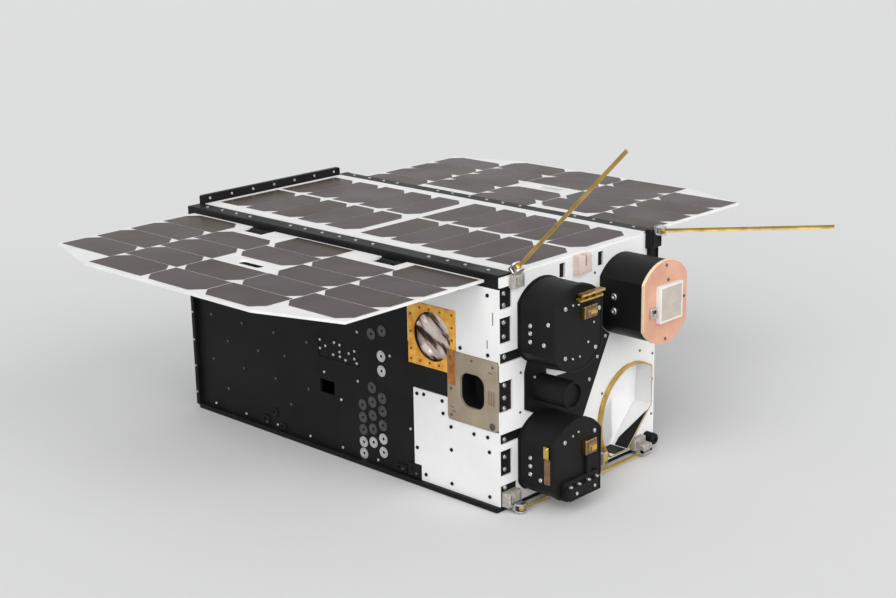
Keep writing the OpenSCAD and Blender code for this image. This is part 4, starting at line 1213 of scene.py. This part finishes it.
repeat("screws_base", screw, [(x, y, BASE_SEAT) for x, y in BASE], "bottom", [dull_metal], size=0.6)

# %% Base panel with sunk seats
def seats(piece, spots, radius, depth, axis):
    """Sink round seats into a face, so that the screw heads in them stay below it."""
    drill(piece, merge("seats", [drum("seat", spot, radius, 2 * depth, axis, 20) for spot in spots]))


BASE_LOW, BASE_HIGH = (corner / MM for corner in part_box("base_panel"))
base = block("base_panel_body", BASE_LOW, BASE_HIGH)
round_edges(base, 0.4, beyond("z", BASE_LOW.z, -1), steps=1)
seats(base, [(x, y, 0) for x, y in BASE], 1.9, BASE_SEAT, "Z")
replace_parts(dress(base, [black_anodised]), "base_panel")

# %% [markdown]
# ## Rear plate
# Nothing may stand out behind the rear plate, because it faces the launch box. So its plugs sit in milled
# pockets. The plate is a block whose top is extruded in two steps to the raised lip, and cutters take
# out the pockets, the four handling holes and the seats of the screws.

# %% Model the plate
REAR_HALF, SHOULDER_Y, LIP_END, SHOULDER_Z, LIP_TOP = 120, 116, 100, 212, 234
rear = block("rear_plate_body", (REAR_X, -REAR_HALF, 0), (REAR_IN, REAR_HALF, SHOULDER_Z))
round_edges(rear, 4, ridge("x", "z", 0, -1), steps=1)
for y in (-SHOULDER_Y, -LIP_END, LIP_END, SHOULDER_Y):
    score(rear, (0, y, 0), (0, 1, 0))
pick(rear, "FACE", lambda middle, way: way.z > 0.9 and abs(middle.y) < SHOULDER_Y)
push((0, 0, 1), RAIL_TOP - SHOULDER_Z)
pick(rear, "FACE", lambda middle, way: way.z > 0.9 and abs(middle.y) < LIP_END)
push((0, 0, 1), LIP_TOP - RAIL_TOP)
round_edges(rear, 2, ridge("x", "z", LIP_TOP))
let_go()
print("rear plate:", len(rear.data.polygons), "faces before drilling")

# %% Drill its holes, pockets and seats
HOLE_R, POCKET_DEPTH = 2.75, 3.4
HOLES = [(y, z) for y in (-90, 90) for z in (33, 193)]
POCKETS = [(0, 110, 84, 34), (-62, 136, 26, 26), (62, 136, 26, 26)]  # middle Y and Z, width, height
for spot in at_x((REAR_X + REAR_IN) / 2, HOLES):
    drill(rear, drum("handling_hole", spot, HOLE_R, 12, "X", 32))
for y, z, width, height in POCKETS:
    cutter = block("pocket", (REAR_X - 3, y - width / 2, z - height / 2),
                   (REAR_X + POCKET_DEPTH, y + width / 2, z + height / 2))
    round_edges(cutter, 4, along("x"), steps=4)
    drill(rear, cutter)
seats(rear, at_x(REAR_X, REAR), 2.5, REAR_SEAT, "X")
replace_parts(dress(rear, [black_anodised]), "rear_plate")

# %% Plugs in the pockets
POCKET_X, WIDE_Y, ROUND_Y, ROUND_Z = REAR_X + POCKET_DEPTH, (-21, 21), (-62, 62), 136
shells = []
for y in WIDE_Y:
    shell = block("plug_shell", (POCKET_X - 2.6, y - 15, 102), (POCKET_X, y + 15, 118))
    round_edges(shell, 3, along("x"), steps=3)
    sink(shell, looking("x", -1), 1.6, (1, 0, 0), 1.8)
    shells.append(shell)
for y in ROUND_Y:
    shell = drum("round_plug", (POCKET_X - 1.4, y, ROUND_Z), 9.5, 2.8, "X", 40)
    sink(shell, looking("x", -1), 1.5, (1, 0, 0), 2)
    shells.append(shell)
dress(merge("rear_plugs", shells), [dull_metal])
PINS = [(y + step, z) for y in WIDE_Y for step in (-9, -6, -3, 0, 3, 6, 9) for z in (107, 113)]
PINS += [(y + 4.5 * math.cos(n), ROUND_Z + 4.5 * math.sin(n)) for y in ROUND_Y for n in range(6)]
repeat("rear_plug_pins", stud, at_x(POCKET_X - 0.7, PINS), "rear", [gold_plate], size=0.6)

# %% [markdown]
# ## Wing hinges
# Each wing turns on two steel pins in the black knuckles of the rail. Only the heads of the pins show at
# the ends of the knuckles, and three screws hold each leaf under its wing. Both are copies of the stud and
# the screw made above, because nothing of them but the head is seen.

# %% Pin heads and leaf screws
HINGE_X, HINGE_Y, HINGE_Z, PIN_HALF, LEAF_Y, LEAF_Z = (-97, 91), 121, 215, 13.9, 144, 214.8
for side, word in SIDES:
    for facing, way in (("front", 1), ("rear", -1)):
        spots = [(x + way * PIN_HALF, side * HINGE_Y, HINGE_Z) for x in HINGE_X]
        repeat(f"hinge_pins_{word}_{facing}", stud, spots, facing, size=1.1)
    spots = [(x + step, side * LEAF_Y, LEAF_Z) for x in HINGE_X for step in (-11, 0, 11)]
    repeat("screws_leaf_" + word, screw, spots, "bottom", body="wing_" + word, size=0.7)

# %% [markdown]
# ## Close the scene
# The patterns have served and are removed. The dressing must not make the satellite larger.

# %% Remove the patterns
let_go()
for pattern in patterns:
    bpy.data.objects.remove(pattern)
